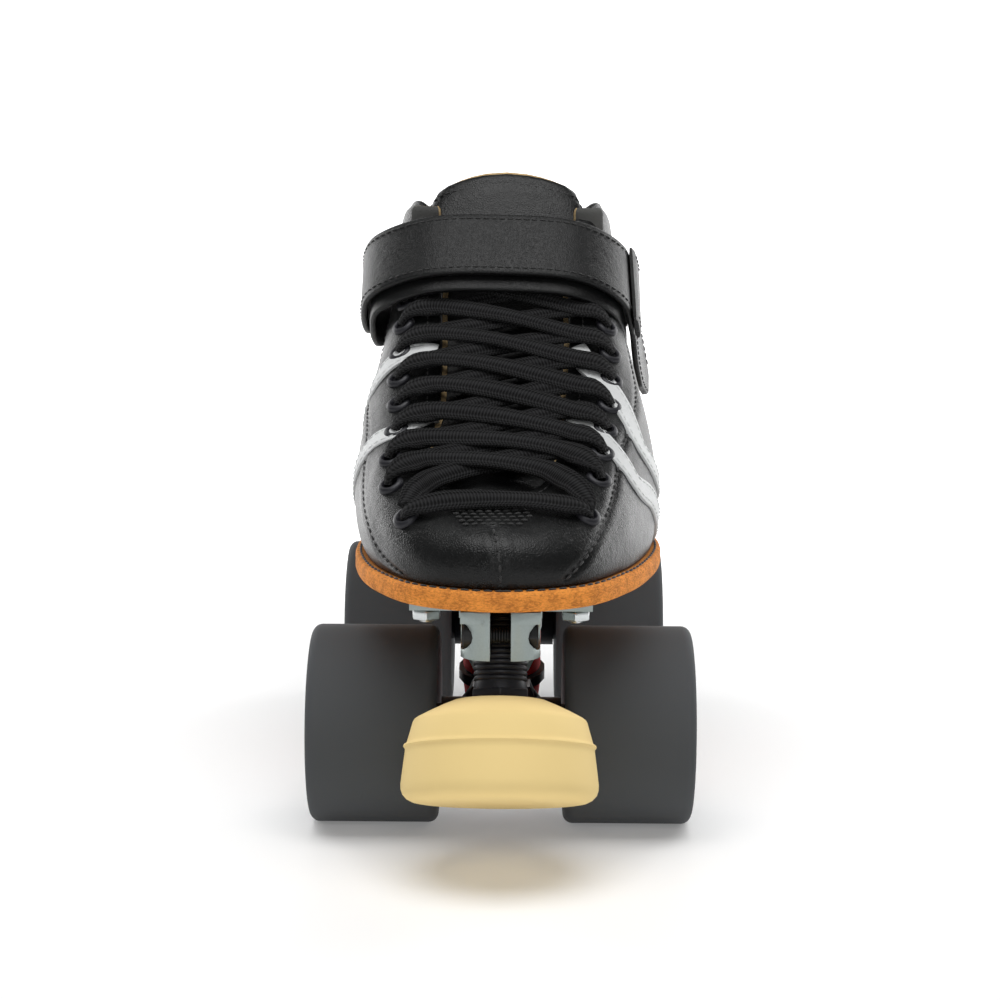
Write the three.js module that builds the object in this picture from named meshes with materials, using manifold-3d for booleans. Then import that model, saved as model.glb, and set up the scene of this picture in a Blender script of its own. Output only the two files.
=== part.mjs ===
// A left quad roller skate: a low laced leather boot on an aluminium plate, two sprung trucks,
// four wheels and an adjustable toe stop. Millimetres, +Z up, toe towards -Y, +X the outer side.
import * as THREE from "three";
import { mergeVertices } from "three/addons/utils/BufferGeometryUtils.js";
import Module from "manifold-3d";

// ---- Driving sizes ---------------------------------------------------------------------------
const GAP = 0.3; // what seats on or in a neighbour stays this far from it

const WHEELBASE = 158;
const WHEEL_RADIUS = 31;
const WHEEL_WIDTH = 40;
const TRACK = 79; // between the wheels' middles
const TYRE_SHOULDER = 3;
const HUB_RADIUS = 21;
const BEARING_RADIUS = 11;
const BEARING_WIDTH = 7;
const BEARING_SPREAD = 12; // clear distance between a wheel's two bearings
const AXLE_RADIUS = 4;
const AXLE_NUT_WIDTH = 5.5;
const AXLE_NUT_RADIUS = 6.8;
const RUNNING = 0.25; // radial clearance of turning fits

const DECK_TOP = 79.2; // the plate's upper face, under the sole
const DECK_THICKNESS = 3.2;
const DECK_WAIST = 30;
const FRONT_FLANGE_WIDTH = 58;
const REAR_FLANGE_WIDTH = 50;
const MOUNT_BOLT_RADIUS = 2.5;
const MOUNT_NUT_RADIUS = 4.6;
const MOUNT_NUT_HEIGHT = 3;
const MOUNT_HEAD_RADIUS = 4.5;
const MOUNT_HEAD_HEIGHT = 1.4;

const RING_INBOARD = 22; // the hanger's ring from its axle, along the skate
const RING_ABOVE_AXLE = 12;
const RING_RADIUS = 14;
const RING_THICKNESS = 8;
const PIVOT_OUTBOARD = 20;
const PIVOT_ABOVE_AXLE = 29;
const KINGPIN_TILT = THREE.MathUtils.degToRad(10);
const KINGPIN_RADIUS = 4.75;
const KINGPIN_NUT_RADIUS = 8;
const CUSHION_RADIUS = 12.5;
const UPPER_CUSHION_HEIGHT = 11;
const LOWER_CUSHION_HEIGHT = 9;
const WASHER_THICKNESS = 1.5;
const HANGER_TUBE_RADIUS = 8.5;
const PIVOT_PIN_RADIUS = 4.5;
const PIVOT_CUP_RADIUS = 7.5;

const TOE_STOP_TILT = THREE.MathUtils.degToRad(20);
const TOE_STOP_FORWARD = 50; // the pad's top in front of the front axle
const TOE_STOP_TOP = 50.5; // the pad's top above the floor
const PAD_RADIUS = 28.8;
const PAD_HEIGHT = 30;
const STEM_RADIUS = 7.9;
const STEM_ABOVE_PAD = 24;
const STEM_IN_PAD = 18;
const STEM_HEX_HEIGHT = 5;
const NOSE_WIDTH = 23;
const CLAMP_SLIT = 6;
const CLAMP_BOLT_RADIUS = 2.4;
const CLAMP_HEAD_RADIUS = 3.9;

const SOLE_LENGTH = 268;
const SOLE_BALL_WIDTH = 97;
const SOLE_THICKNESS = 6;
const HEEL_LIFT = 12;
const TOE_OVERHANG = 66; // the sole's tip in front of the front axle
const WELT = 3; // the sole's ledge outside the upper
const UPPER_HEIGHT = 110; // from the sole's top to the collar's highest point
const UPPER_WALL = 3;
const INSOLE_THICKNESS = 3;
const TONGUE_THICKNESS = 5;
const TONGUE_CLEARANCE = 1.3; // under the eyestays
const TONGUE_ABOVE = 18; // how far the tongue's end stands above the last eyelets
const LACE_WIDTH = 7;
const LACE_THICKNESS = 1.4;
const STRAP_WIDTH = 25;
const STRAP_THICKNESS = 2.4;
const STRAP_LAYER_GAP = 0.8;
const RING_WIRE_RADIUS = 1.5;
const RING_LOOP_DEPTH = 9;
const KEEPER_WALL = 1.6;

// ---- Places that follow from the sizes -------------------------------------------------------
const FRONT_AXLE_Y = -WHEELBASE / 2;
const REAR_AXLE_Y = WHEELBASE / 2;
const AXLE_Z = WHEEL_RADIUS;
const RING_HEIGHT = AXLE_Z + RING_ABOVE_AXLE;
const PIVOT_HEIGHT = AXLE_Z + PIVOT_ABOVE_AXLE;
const DECK_BOTTOM = DECK_TOP - DECK_THICKNESS;
const SOLE_BOTTOM = DECK_TOP + GAP;
const TOE_TIP_Y = FRONT_AXLE_Y - TOE_OVERHANG;
const BEARING_OUTER = BEARING_SPREAD / 2 + BEARING_WIDTH; // from the wheel's middle
const HANGER_END = TRACK / 2 - BEARING_OUTER - GAP;

const STEEL = { color: 0xb8bbbf, roughness: 0.3, metalness: 1 };
const BLACK_METAL = { color: 0x16171a, roughness: 0.4, metalness: 0.6 };
const GREY_METAL = { color: 0x8a9693, roughness: 0.35, metalness: 0.8 };
const BLACK_LEATHER = { color: 0x1c1d1e, roughness: 0.4, metalness: 0 };
const TAN_LEATHER = { color: 0xc97a38, roughness: 0.85, metalness: 0 };
const URETHANE = { color: 0x2c2e30, roughness: 0.5, metalness: 0 };
const HUB_PLASTIC = { color: 0x10383f, roughness: 0.4, metalness: 0 };
const RED_URETHANE = { color: 0xc4101c, roughness: 0.35, metalness: 0 };
const PAD_URETHANE = { color: 0xe6ca86, roughness: 0.5, metalness: 0 };
const LACE_CLOTH = { color: 0x202020, roughness: 0.95, metalness: 0 };

const wasm = await Module();
wasm.setup();

// ---- Shaping helpers -------------------------------------------------------------------------

/** A closed geometry as a manifold solid, turned outwards if its faces point in. */
function solid(geometry, matrix = new THREE.Matrix4()) {
  const bare = geometry.index ? geometry.toNonIndexed() : geometry.clone();
  const positions = new THREE.BufferGeometry().setAttribute("position", bare.getAttribute("position"));
  const merged = mergeVertices(positions.applyMatrix4(matrix), 1e-4);
  const corners = [];
  for (let i = 0; i < merged.index.count; i += 3) {
    const [a, b, c] = [0, 1, 2].map((k) => merged.index.getX(i + k));
    if (a !== b && b !== c && a !== c) corners.push([a, b, c]);
  }
  const build = (triangles) =>
    new wasm.Manifold(
      new wasm.Mesh({
        numProp: 3,
        vertProperties: merged.attributes.position.array,
        triVerts: new Uint32Array(triangles.flat()),
      }),
    );
  const made = build(corners);
  return made.volume() < 0 ? build(corners.map(([a, b, c]) => [a, c, b])) : made;
}

/** A manifold solid as a three.js geometry. */
function geometryOf(manifold) {
  const mesh = manifold.getMesh();
  return new THREE.BufferGeometry()
    .setAttribute("position", new THREE.BufferAttribute(mesh.vertProperties, 3))
    .setIndex(new THREE.BufferAttribute(mesh.triVerts, 1));
}

/** The matrix that stands a shape's +Y axis along a direction, at a point. */
function along(point, direction) {
  const up = new THREE.Vector3(0, 1, 0);
  const turn = new THREE.Quaternion().setFromUnitVectors(up, direction.clone().normalize());
  return new THREE.Matrix4().compose(point, turn, new THREE.Vector3(1, 1, 1));
}

/** A turned solid from [radius, distance along the axis] pairs, its axis along a direction. */
function turned(profile, segments, point = new THREE.Vector3(), direction = new THREE.Vector3(0, 1, 0)) {
  const points = profile.map(([radius, distance]) => new THREE.Vector2(radius, distance));
  return solid(new THREE.LatheGeometry(points, segments), along(point, direction));
}

/** A plain rod from one distance to another along a direction through a point. */
function rod(radius, from, to, segments, point, direction) {
  return turned([[0, from], [radius, from], [radius, to], [0, to]], segments, point, direction);
}

/** A ring of a wall between two radii. */
function ring(inner, outer, from, to, segments, point, direction) {
  const profile = [[inner, from], [outer, from], [outer, to], [inner, to], [inner, from]];
  return turned(profile, segments, point, direction);
}

/** A box between two opposite corners. */
function block(low, high) {
  const size = high.map((h, i) => h - low[i]);
  const middle = high.map((h, i) => (h + low[i]) / 2);
  return solid(new THREE.BoxGeometry(...size), new THREE.Matrix4().makeTranslation(...middle));
}

/** A YZ outline given a thickness across X, centred. */
function sideProfile(outline, thickness) {
  const shape = new THREE.Shape(outline.map(([y, z]) => new THREE.Vector2(y, z)));
  const extruded = new THREE.ExtrudeGeometry(shape, { depth: thickness, bevelEnabled: false });
  const turn = new THREE.Matrix4().makeBasis(
    new THREE.Vector3(0, 1, 0),
    new THREE.Vector3(0, 0, 1),
    new THREE.Vector3(1, 0, 0),
  );
  return solid(extruded, new THREE.Matrix4().makeTranslation(-thickness / 2, 0, 0).multiply(turn));
}

/** The closed solid between two facing grids of points. wrap joins the last row to the first. */
function between(front, back, wrap = false) {
  const rows = front.length;
  const columns = front[0].length;
  const points = [...front.flat(), ...back.flat()].flatMap((p) => [p.x, p.y, p.z]);
  const at = (side, row, column) => side * rows * columns + (row % rows) * columns + column;
  const faces = [];
  const quad = (a, b, c, d) => faces.push(a, b, c, a, c, d);
  const lastRow = wrap ? rows : rows - 1;
  for (let i = 0; i < lastRow; i++) {
    for (let j = 0; j + 1 < columns; j++) {
      quad(at(0, i, j), at(0, i, j + 1), at(0, i + 1, j + 1), at(0, i + 1, j));
      quad(at(1, i, j), at(1, i + 1, j), at(1, i + 1, j + 1), at(1, i, j + 1));
    }
    quad(at(0, i, 0), at(0, i + 1, 0), at(1, i + 1, 0), at(1, i, 0));
    const end = columns - 1;
    quad(at(0, i, end), at(1, i, end), at(1, i + 1, end), at(0, i + 1, end));
  }
  if (!wrap) {
    for (let j = 0; j + 1 < columns; j++) {
      quad(at(0, 0, j), at(1, 0, j), at(1, 0, j + 1), at(0, 0, j + 1));
      const end = rows - 1;
      quad(at(0, end, j), at(0, end, j + 1), at(1, end, j + 1), at(1, end, j));
    }
  }
  const geometry = new THREE.BufferGeometry()
    .setAttribute("position", new THREE.Float32BufferAttribute(points, 3))
    .setIndex(faces);
  return solid(geometry);
}

/** A named mesh of a manifold solid. */
function piece(name, manifold, finish) {
  const mesh = new THREE.Mesh(geometryOf(manifold), new THREE.MeshStandardMaterial(finish));
  mesh.name = name;
  return mesh;
}

const V = (x, y, z) => new THREE.Vector3(x, y, z);
const AXIS_X = V(1, 0, 0);
const AXIS_Z = V(0, 0, 1);

/** A smooth 0 to 1 step of t between two limits. */
function smooth(t, from, to) {
  return THREE.MathUtils.smoothstep(t, from, to);
}

// ---- The boot's shape ------------------------------------------------------------------------
// Each station runs from the sole's edge up the upper to its top line. Its numbers are the sole's
// edge (x, y), the lower handle's reach outside that edge and its height, the upper handle
// (x, y, z) and the top line (x, y, z). y is from the sole's tip and z from the sole's top, at a
// sole of 268 by 97 mm and an upper of 110 mm. They go round from the toe by the outer side.
const STATIONS = [
  [0, 0, 4, 15, -4, 14, 20.5, -5, 36, 21.3],
  [24, 9, 3, 14, 20, 27, 23.5, 10, 41, 23.9],
  [38.5, 32, 3, 16, 33, 48, 33.5, 17.7, 58, 32.7],
  [46.5, 57, 4, 18, 42, 76, 47.5, 20, 82, 45.5],
  [50.5, 84, 6, 20, 45, 101, 62.5, 21.8, 104.5, 60],
  [48.5, 115, 4, 24, 45, 124, 79.5, 21.8, 126, 75.5],
  [41, 146, 6, 28, 44, 149, 84, 23.5, 150, 98.5],
  [35, 176, 6, 32, 42, 170, 80, 32, 165, 106.5],
  [32, 206, 8, 34, 39, 194, 72, 35.5, 188, 100.5],
  [31.5, 232, 7, 32, 36, 222, 72, 34, 216, 97.5],
  [22, 256, 6, 30, 22, 248, 74.5, 24, 243, 104.5],
  [0, 268, 8, 28, 1, 252, 76.5, 1, 256, 110],
  [-21, 256, 6, 30, -21, 248, 74.5, -23, 243, 104.5],
  [-31.5, 232, 7, 32, -35, 222, 72, -33, 216, 97.5],
  [-32, 206, 8, 34, -41, 194, 72, -35, 188, 100.5],
  [-32.5, 176, 8, 32, -45, 170, 80, -31, 165, 107],
  [-36, 146, 10, 28, -46, 149, 84, -22.5, 150, 98.5],
  [-43.5, 115, 6, 24, -46, 124, 79.5, -21.4, 126, 75.5],
  [-46.5, 84, 8, 20, -45, 101, 62.5, -20.8, 104.5, 60],
  [-44.5, 57, 8, 18, -41, 76, 47.5, -20.5, 82, 45.5],
  [-38, 32, 5, 17, -38, 44, 30.5, -23.5, 53, 29.8],
  [-24, 9, 4, 14, -24, 24, 22.5, -17, 39, 23.1],
];
const WIDE = SOLE_BALL_WIDTH / 97;
const LONG = SOLE_LENGTH / 268;
const TALL = UPPER_HEIGHT / 110;
const LIFT_FROM = 100; // the sole rises to the heel between these distances from its tip
const LIFT_TO = 175;
const HEEL_BREAST = 176;

/** How far the sole has risen towards the heel, at y from its tip in a 268 mm sole. */
function lift(y) {
  return HEEL_LIFT * smooth(y, LIFT_FROM, LIFT_TO);
}

/** A station point in the skate's own frame. */
function placed(x, y, z) {
  return V(x * WIDE, TOE_TIP_Y + y * LONG, SOLE_BOTTOM + SOLE_THICKNESS + z);
}

const STATION_COUNT = STATIONS.length;
const edgePoints = STATIONS.map(([x, y]) => placed(x, y, 0));
const soleEdge = new THREE.CatmullRomCurve3(edgePoints, true, "centripetal");

/** A point put at a height above the sole's top where it stands. */
function onSole(point, height) {
  const y = (point.y - TOE_TIP_Y) / LONG;
  return point.clone().setZ(SOLE_BOTTOM + SOLE_THICKNESS + lift(y) + height);
}

/** A point of the sole's edge moved outwards, on the level, by a distance. */
function besideEdge(t, distance) {
  const tangent = soleEdge.getTangent(t);
  const outward = V(tangent.y, -tangent.x, 0).normalize();
  return soleEdge.getPoint(t).addScaledVector(outward, distance);
}

/** One of the upper's rows: a curve through a point for every station. */
function row(pick) {
  const points = STATIONS.map((station, i) => pick(station, i / STATION_COUNT));
  return new THREE.CatmullRomCurve3(points, true, "centripetal");
}

const rows = [
  row((station, t) => onSole(besideEdge(t, -WELT), 2 * GAP)),
  row(([, , reach, height], t) => onSole(besideEdge(t, reach - WELT), height * TALL)),
  row(([, , , , x, y, z]) => placed(x, y, z * TALL)),
  row(([, , , , , , , x, y, z]) => placed(x, y, z * TALL)),
];

/** The upper's outer face: u counts stations round from the toe, v runs from the sole to the top line. */
function upperPoint(u, v) {
  const t = (((u % STATION_COUNT) + STATION_COUNT) % STATION_COUNT) / STATION_COUNT;
  const [a, b, c, d] = rows.map((curve) => curve.getPoint(t));
  const w = 1 - v;
  return V(0, 0, 0)
    .addScaledVector(a, w * w * w)
    .addScaledVector(b, 3 * w * w * v)
    .addScaledVector(c, 3 * w * v * v)
    .addScaledVector(d, v * v * v);
}

/** The outward unit normal of the upper's outer face. */
function upperNormal(u, v) {
  const step = 0.02;
  const low = Math.max(0, v - step);
  const high = Math.min(1, v + step);
  const round = upperPoint(u + step, v).sub(upperPoint(u - step, v));
  const rise = upperPoint(u, high).sub(upperPoint(u, low));
  return round.cross(rise).normalize();
}

/** A point a distance outside (or, below zero, inside) the upper's outer face. */
function offUpper(u, v, distance) {
  return upperPoint(u, v).addScaledVector(upperNormal(u, v), distance);
}

/** The sole's outline as a flat shape, drawn in by a distance. */
function soleShape(inwards) {
  const points = [];
  for (let i = 0; i < 60; i++) {
    const p = besideEdge(i / 60, -inwards);
    points.push(new THREE.Vector2(p.x, p.y));
  }
  return new THREE.Shape(points);
}

const MOUNT_BOLTS = [
  ["front_outer", 22, FRONT_AXLE_Y - 40],
  ["front_inner", -22, FRONT_AXLE_Y - 40],
  ["rear_outer", 18, REAR_AXLE_Y + 6],
  ["rear_inner", -18, REAR_AXLE_Y + 6],
];

/** The holes that the plate's mounting bolts need, from one height to another. */
function mountHoles(from, to) {
  return MOUNT_BOLTS.map(([, x, y]) => rod(MOUNT_BOLT_RADIUS + GAP, from, to, 12, V(x, y, 0), AXIS_Z));
}

/** The leather outsole: flat under the ball, rising over the waist to the heel. */
function makeSole() {
  const curved = curvedSlab(soleShape(0), -SOLE_THICKNESS, 0);
  return mountHoles(0, 200).reduce((body, hole) => body.subtract(hole), curved);
}

/** An outline cut out of a slab that follows the sole's rise between two offsets from its top. */
function curvedSlab(shape, low, high) {
  const outline = new THREE.ExtrudeGeometry(shape, { depth: 200, bevelEnabled: false });
  const stops = [-30];
  for (let i = 0; i <= 12; i++) stops.push(LIFT_FROM + ((LIFT_TO - LIFT_FROM) * i) / 12);
  stops.push(300);
  const grid = (height) => stops.map((y) => [-80, 80].map((x) => placed(x, y, lift(y) + height)));
  return between(grid(high), grid(low)).intersect(solid(outline));
}

/** The stacked leather heel between the plate and the raised back of the sole. */
function makeHeel() {
  const top = SOLE_BOTTOM + HEEL_LIFT - GAP;
  const breast = placed(0, HEEL_BREAST, 0).y;
  const outline = new THREE.ExtrudeGeometry(soleShape(0.5), { depth: 200, bevelEnabled: false });
  const slab = block([-80, breast, SOLE_BOTTOM], [80, TOE_TIP_Y + SOLE_LENGTH + 20, top]);
  const heel = slab.intersect(solid(outline));
  return mountHoles(0, 200).reduce((body, hole) => body.subtract(hole), heel);
}

/** The footbed inside the upper, over the heads of the mounting bolts. */
function makeInsole() {
  const above = MOUNT_HEAD_HEIGHT + 2 * GAP;
  return curvedSlab(soleShape(WELT + UPPER_WALL + 2), above, above + INSOLE_THICKNESS);
}

/** The laced leather upper, open at the throat and the collar. */
function makeUpper() {
  const columns = 55;
  const steps = 7;
  const outside = [];
  const inside = [];
  for (let i = 0; i < columns; i++) {
    const u = (i * STATION_COUNT) / columns;
    const out = [];
    const back = [];
    for (let j = 0; j <= steps; j++) {
      const v = j / steps;
      out.push(upperPoint(u, v));
      const inner = offUpper(u, v, -UPPER_WALL);
      back.push(j === 0 ? onSole(inner, 2 * GAP) : inner);
    }
    outside.push(out);
    inside.push(back);
  }
  return between(outside, inside, true);
}

/** A point across the tongue at station u: s runs from -1 inside one eyestay to 1 inside the other. */
function tonguePoint(u, s, depth) {
  const under = -(UPPER_WALL + TONGUE_CLEARANCE + depth);
  const wrap = Math.max(0, Math.abs(s) - 0.6) / 0.4;
  const edge = (side) => offUpper(side * u, 0.97 - 0.17 * wrap, under);
  if (Math.abs(s) >= 0.6) return edge(Math.sign(s));
  const share = (s / 0.6 + 1) / 2;
  const point = edge(-1).lerp(edge(1), share);
  return point.add(V(0, -1.2, 1.6).multiplyScalar(4 * share * (1 - share)));
}

/** The padded tongue under the laces, standing above the collar at its top. */
function makeTongue() {
  const across = [-1, -0.8, -0.6, -0.3, 0, 0.3, 0.6, 0.8, 1];
  const face = (depth) => {
    const lines = [];
    for (let i = 0; i <= 10; i++) {
      lines.push(across.map((s) => tonguePoint(1.1 + (i * 5) / 10, s, depth)));
    }
    for (const above of [0.4, 0.75, 1]) {
      const rounding = 1 - 0.22 * above * above;
      const line = across.map((s) => {
        const base = tonguePoint(6.1, s, depth);
        base.x *= rounding;
        return base.add(V(0, 13 * above, (TONGUE_ABOVE - 7 * s * s) * above));
      });
      lines.push(line);
    }
    return lines;
  };
  return between(face(0), face(TONGUE_THICKNESS));
}

// The eyelets of one side, from the toe up: station count from the toe, and share of the way up.
const EYELETS = [
  [1.3, 0.5],
  [1.88, 0.65],
  [2.3, 0.73],
  [2.72, 0.76],
  [3.2, 0.77],
  [3.7, 0.78],
  [4.2, 0.79],
  [4.7, 0.8],
  [5.15, 0.81],
];

/** A flat strand of lace through points of the upper, each given as u, v and its height above. */
function strand(stops) {
  const points = stops.map(([u, v, height]) => offUpper(u, v, height));
  const route = new THREE.CatmullRomCurve3(points, false, "centripetal");
  const steps = 7;
  const lines = (raise) => {
    const made = [];
    for (let k = 0; k <= steps; k++) {
      const t = k / steps;
      const p = route.getPoint(t);
      const tangent = route.getTangent(t);
      const widthwise = V(0, 0.8, 0.6).addScaledVector(tangent, -tangent.dot(V(0, 0.8, 0.6))).normalize();
      const normal = tangent.clone().cross(widthwise).normalize();
      if (normal.z < 0) normal.negate();
      p.addScaledVector(normal, raise);
      made.push([-0.5, 0.5].map((s) => p.clone().addScaledVector(widthwise, s * LACE_WIDTH)));
    }
    return made;
  };
  return between(lines(LACE_THICKNESS), lines(0));
}

/** The strand from an eyelet of one side over the throat to the next eyelet of the other side. */
function crossing(i, side) {
  const [[u, v], [nextU, nextV]] = [EYELETS[i], EYELETS[i + 1]];
  const rise = [[u, v, 1.7], [u, (v + 0.97) / 2, 2.6], [u, 0.97, 2.4]].map(([a, b, c]) => [side * a, b, c]);
  const fall = [[nextU, 0.97, 2.4], [nextU, (nextV + 0.97) / 2, 2.6], [nextU, nextV, 1.7]];
  return strand([...rise, ...fall.map(([a, b, c]) => [-side * a, b, c])]);
}

/** The flat lace: one bar over the toe and crossed strands above it. */
function makeLaces() {
  const [u, v] = EYELETS[0];
  const half = [[u, v, 1.5], [0.65 * u, 0.5 * v + 0.47, 2.4]];
  let laces = strand([...half.map(([a, b, c]) => [-a, b, c]), [0, 0.88, 2.2], ...half.reverse()]);
  for (let i = 0; i + 1 < EYELETS.length; i++) {
    laces = laces.add(crossing(i, 1)).add(crossing(i, -1));
  }
  const [whole] = laces.decompose().sort((a, b) => b.volume() - a.volume());
  return whole; // without the sealed hollows between crossed strands
}

// ---- The strap -------------------------------------------------------------------------------
// The surface between the strap's two layers: x, y from the sole's tip, z above the sole's top.
const STRAP_FRONT = [
  [-46.5, 152, 76.5],
  [-43, 137.5, 85],
  [-26, 128, 91.5],
  [0, 126.5, 92.5],
  [26, 127, 90.5],
  [42, 135.5, 84],
  [45, 152, 73],
];
const STRAP_TAIL = [
  [46.5, 164, 61.5],
  [48.5, 174, 50.5],
  [50, 182, 41],
];
const STRAP_LEAN = V(0, 0.66, 0.75);

/** A direction made square to another, with unit length. */
function squareTo(direction, other) {
  return direction.clone().addScaledVector(other, -direction.dot(other)).normalize();
}

const toPlaced = ([x, y, z]) => placed(x, y, z * TALL);
const layer = STRAP_THICKNESS + STRAP_LAYER_GAP / 2;
const ringBore = RING_WIRE_RADIUS + RUNNING;
const ringRearBar = offUpper(-8, 0.5, GAP + 0.1 + KEEPER_WALL + ringBore);
const ringAlong = toPlaced(STRAP_FRONT[0]).sub(ringRearBar).normalize();
const ringAcross = squareTo(STRAP_LEAN, ringAlong);
const ringFrontBar = ringRearBar.clone().addScaledVector(ringAlong, RING_LOOP_DEPTH);
const strapShared = [ringFrontBar, ...STRAP_FRONT.map(toPlaced)];
const strapAnchor = [offUpper(7.35, 0.5, layer + 1.2), offUpper(7.75, 0.34, layer + 0.8)];
const flapCurve = new THREE.CatmullRomCurve3([...strapShared, ...STRAP_TAIL.map(toPlaced)]);
const baseCurve = new THREE.CatmullRomCurve3([...strapShared, ...strapAnchor]);
const tailFrom = flapCurve.getLengths(100)[70]; // at the last point of the strap's front

/** A point of a strap curve with the directions along it, across its width and outwards. */
function strapFrame(curve, share) {
  const t = Math.min(share, 1);
  const tangent = curve.getTangentAt(t);
  const across = squareTo(STRAP_LEAN, tangent);
  return { p: curve.getPointAt(t), across, normal: tangent.clone().cross(across).normalize() };
}

/** A band between two offsets from a curve and two distances along it; point narrows its far end. */
function band(curve, start, end, low, high, point) {
  const steps = Math.ceil((end - start) / 9);
  const length = curve.getLength();
  const lines = (raise) => {
    const made = [];
    for (let i = 0; i <= steps; i++) {
      const distance = start + ((end - start) * i) / steps;
      const { p, normal, across } = strapFrame(curve, distance / length);
      const half = (STRAP_WIDTH / 2) * Math.min(1, 1 - point + (length - distance) / STRAP_WIDTH);
      p.addScaledVector(normal, raise);
      made.push([-half, half].map((s) => p.clone().addScaledVector(across, s)));
    }
    return made;
  };
  return between(lines(high), lines(low));
}

/** The strap's inner layer, sewn to the outer side and hooked round the loop's front bar. */
function makeStrapBase() {
  const inner = band(baseCurve, ringBore + 0.3, baseCurve.getLength(), -layer, -STRAP_LAYER_GAP / 2, 0);
  const half = STRAP_WIDTH / 2;
  const hook = ring(ringBore, ringBore + KEEPER_WALL, -half, half, 14, ringFrontBar, ringAcross);
  return inner.add(hook);
}

/** The strap's outer layer, from the loop back across the front to the peeling end's hinge line. */
function makeStrapFlap() {
  const from = ringBore + KEEPER_WALL + 2 * GAP;
  return band(flapCurve, from, tailFrom - GAP / 2, STRAP_LAYER_GAP / 2, layer, 0);
}

/** The strap's pointed end on the outer side, which peels away from the layer under it. */
function makeStrapTail() {
  return band(flapCurve, tailFrom + GAP / 2, flapCurve.getLength(), STRAP_LAYER_GAP / 2, layer, 0.55);
}

/** The rectangular wire loop that the strap turns back through. */
function makeRing() {
  const half = STRAP_WIDTH / 2 + RING_WIRE_RADIUS + 1;
  const over = half + RING_WIRE_RADIUS;
  const bar = (at) => rod(RING_WIRE_RADIUS, -over, over, 10, at, ringAcross);
  const end = (side) => {
    const corner = ringRearBar.clone().addScaledVector(ringAcross, side * half);
    return rod(RING_WIRE_RADIUS, 0, RING_LOOP_DEPTH, 10, corner, ringAlong);
  };
  return bar(ringFrontBar).add(bar(ringRearBar)).add(end(-1)).add(end(1));
}

/** The sewn tab that holds the loop: a sleeve round its rear bar and a tail on the quarter. */
function makeKeeper() {
  const half = STRAP_WIDTH / 2 - 1;
  const sleeve = ring(ringBore, ringBore + KEEPER_WALL, -half, half, 14, ringRearBar, ringAcross);
  const tail = (raise) => {
    const lines = [];
    for (let i = 0; i <= 4; i++) {
      const u = -8 - 0.35 * i;
      lines.push([-1, 0, 1].map((s) => offUpper(u, 0.5 - 0.05 * i + s * 0.1, raise)));
    }
    return lines;
  };
  return sleeve.add(between(tail(GAP + 0.1), tail(GAP + 0.1 + KEEPER_WALL)));
}

// ---- The plate -------------------------------------------------------------------------------
const toeAxis = V(0, -Math.sin(TOE_STOP_TILT), -Math.cos(TOE_STOP_TILT)); // down the stem
const padTop = V(0, FRONT_AXLE_Y - TOE_STOP_FORWARD, TOE_STOP_TOP);
const NOSE_BOTTOM = 65;
const NOSE_TIP_Y = FRONT_AXLE_Y - 63;
const CLAMP_Y = FRONT_AXLE_Y - 57.5;
const CLAMP_Z = (NOSE_BOTTOM + DECK_BOTTOM) / 2 + 1;
const kingpinUp = V(0, -Math.sin(KINGPIN_TILT), Math.cos(KINGPIN_TILT));
const ringCentre = V(0, RING_INBOARD, RING_HEIGHT);
const pivotCentre = V(0, -PIVOT_OUTBOARD, PIVOT_HEIGHT);
const steerAxis = pivotCentre.clone().sub(ringCentre).normalize(); // out from the ring to the pivot
const CUSHION_SEAT = RING_THICKNESS / 2 + 2 * GAP + UPPER_CUSHION_HEIGHT; // up the kingpin from the ring
const KINGPIN_TOP = CUSHION_SEAT + 10;
const CUP_FROM = -5;
const CUP_TO = 6;

/** The deck's half outline: distance along the skate and half width. */
function deckOutline() {
  const front = FRONT_FLANGE_WIDTH / 2;
  const rear = REAR_FLANGE_WIDTH / 2;
  const waist = DECK_WAIST / 2;
  return [
    [NOSE_TIP_Y, NOSE_WIDTH / 2],
    [FRONT_AXLE_Y - 55, NOSE_WIDTH / 2],
    [FRONT_AXLE_Y - 49, front],
    [FRONT_AXLE_Y - 34, front],
    [FRONT_AXLE_Y - 20, waist + 2],
    [FRONT_AXLE_Y + 34, waist + 2],
    [FRONT_AXLE_Y + 46, waist - 2],
    [REAR_AXLE_Y - 46, waist - 2],
    [REAR_AXLE_Y - 34, waist + 2],
    [REAR_AXLE_Y + 10, waist + 2],
    [REAR_AXLE_Y + 20, rear],
    [REAR_AXLE_Y + 36, rear],
    [REAR_AXLE_Y + 42, rear - 8],
  ];
}

/** One truck's own kingpin boss and pivot housing, in the truck's frame. */
function truckBosses() {
  const boss = rod(CUSHION_RADIUS + 0.3, CUSHION_SEAT, CUSHION_SEAT + 17.5, 24, ringCentre, kingpinUp);
  const housing = rod(PIVOT_CUP_RADIUS + 3, CUP_FROM, CUP_TO + 3, 20, pivotCentre, steerAxis);
  const root = block(
    [-8, pivotCentre.y - 8, pivotCentre.z + 1],
    [8, pivotCentre.y + 5, DECK_BOTTOM + 1],
  );
  return boss.add(housing).add(root);
}

/** One truck's bores, in the truck's frame. */
function truckBores() {
  const kingpin = rod(KINGPIN_RADIUS + GAP, CUSHION_SEAT - 5, KINGPIN_TOP + GAP, 12, ringCentre, kingpinUp);
  const cup = rod(PIVOT_CUP_RADIUS + GAP, CUP_FROM - 4, CUP_TO + GAP, 20, pivotCentre, steerAxis);
  return kingpin.add(cup);
}

const frontTruckPlace = new THREE.Matrix4().makeTranslation(0, FRONT_AXLE_Y, 0);
const rearTruckPlace = new THREE.Matrix4().makeRotationZ(Math.PI).setPosition(0, REAR_AXLE_Y, 0);

/** A manifold solid moved by a matrix. */
function moved(manifold, matrix) {
  return manifold.transform(matrix.elements);
}

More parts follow.
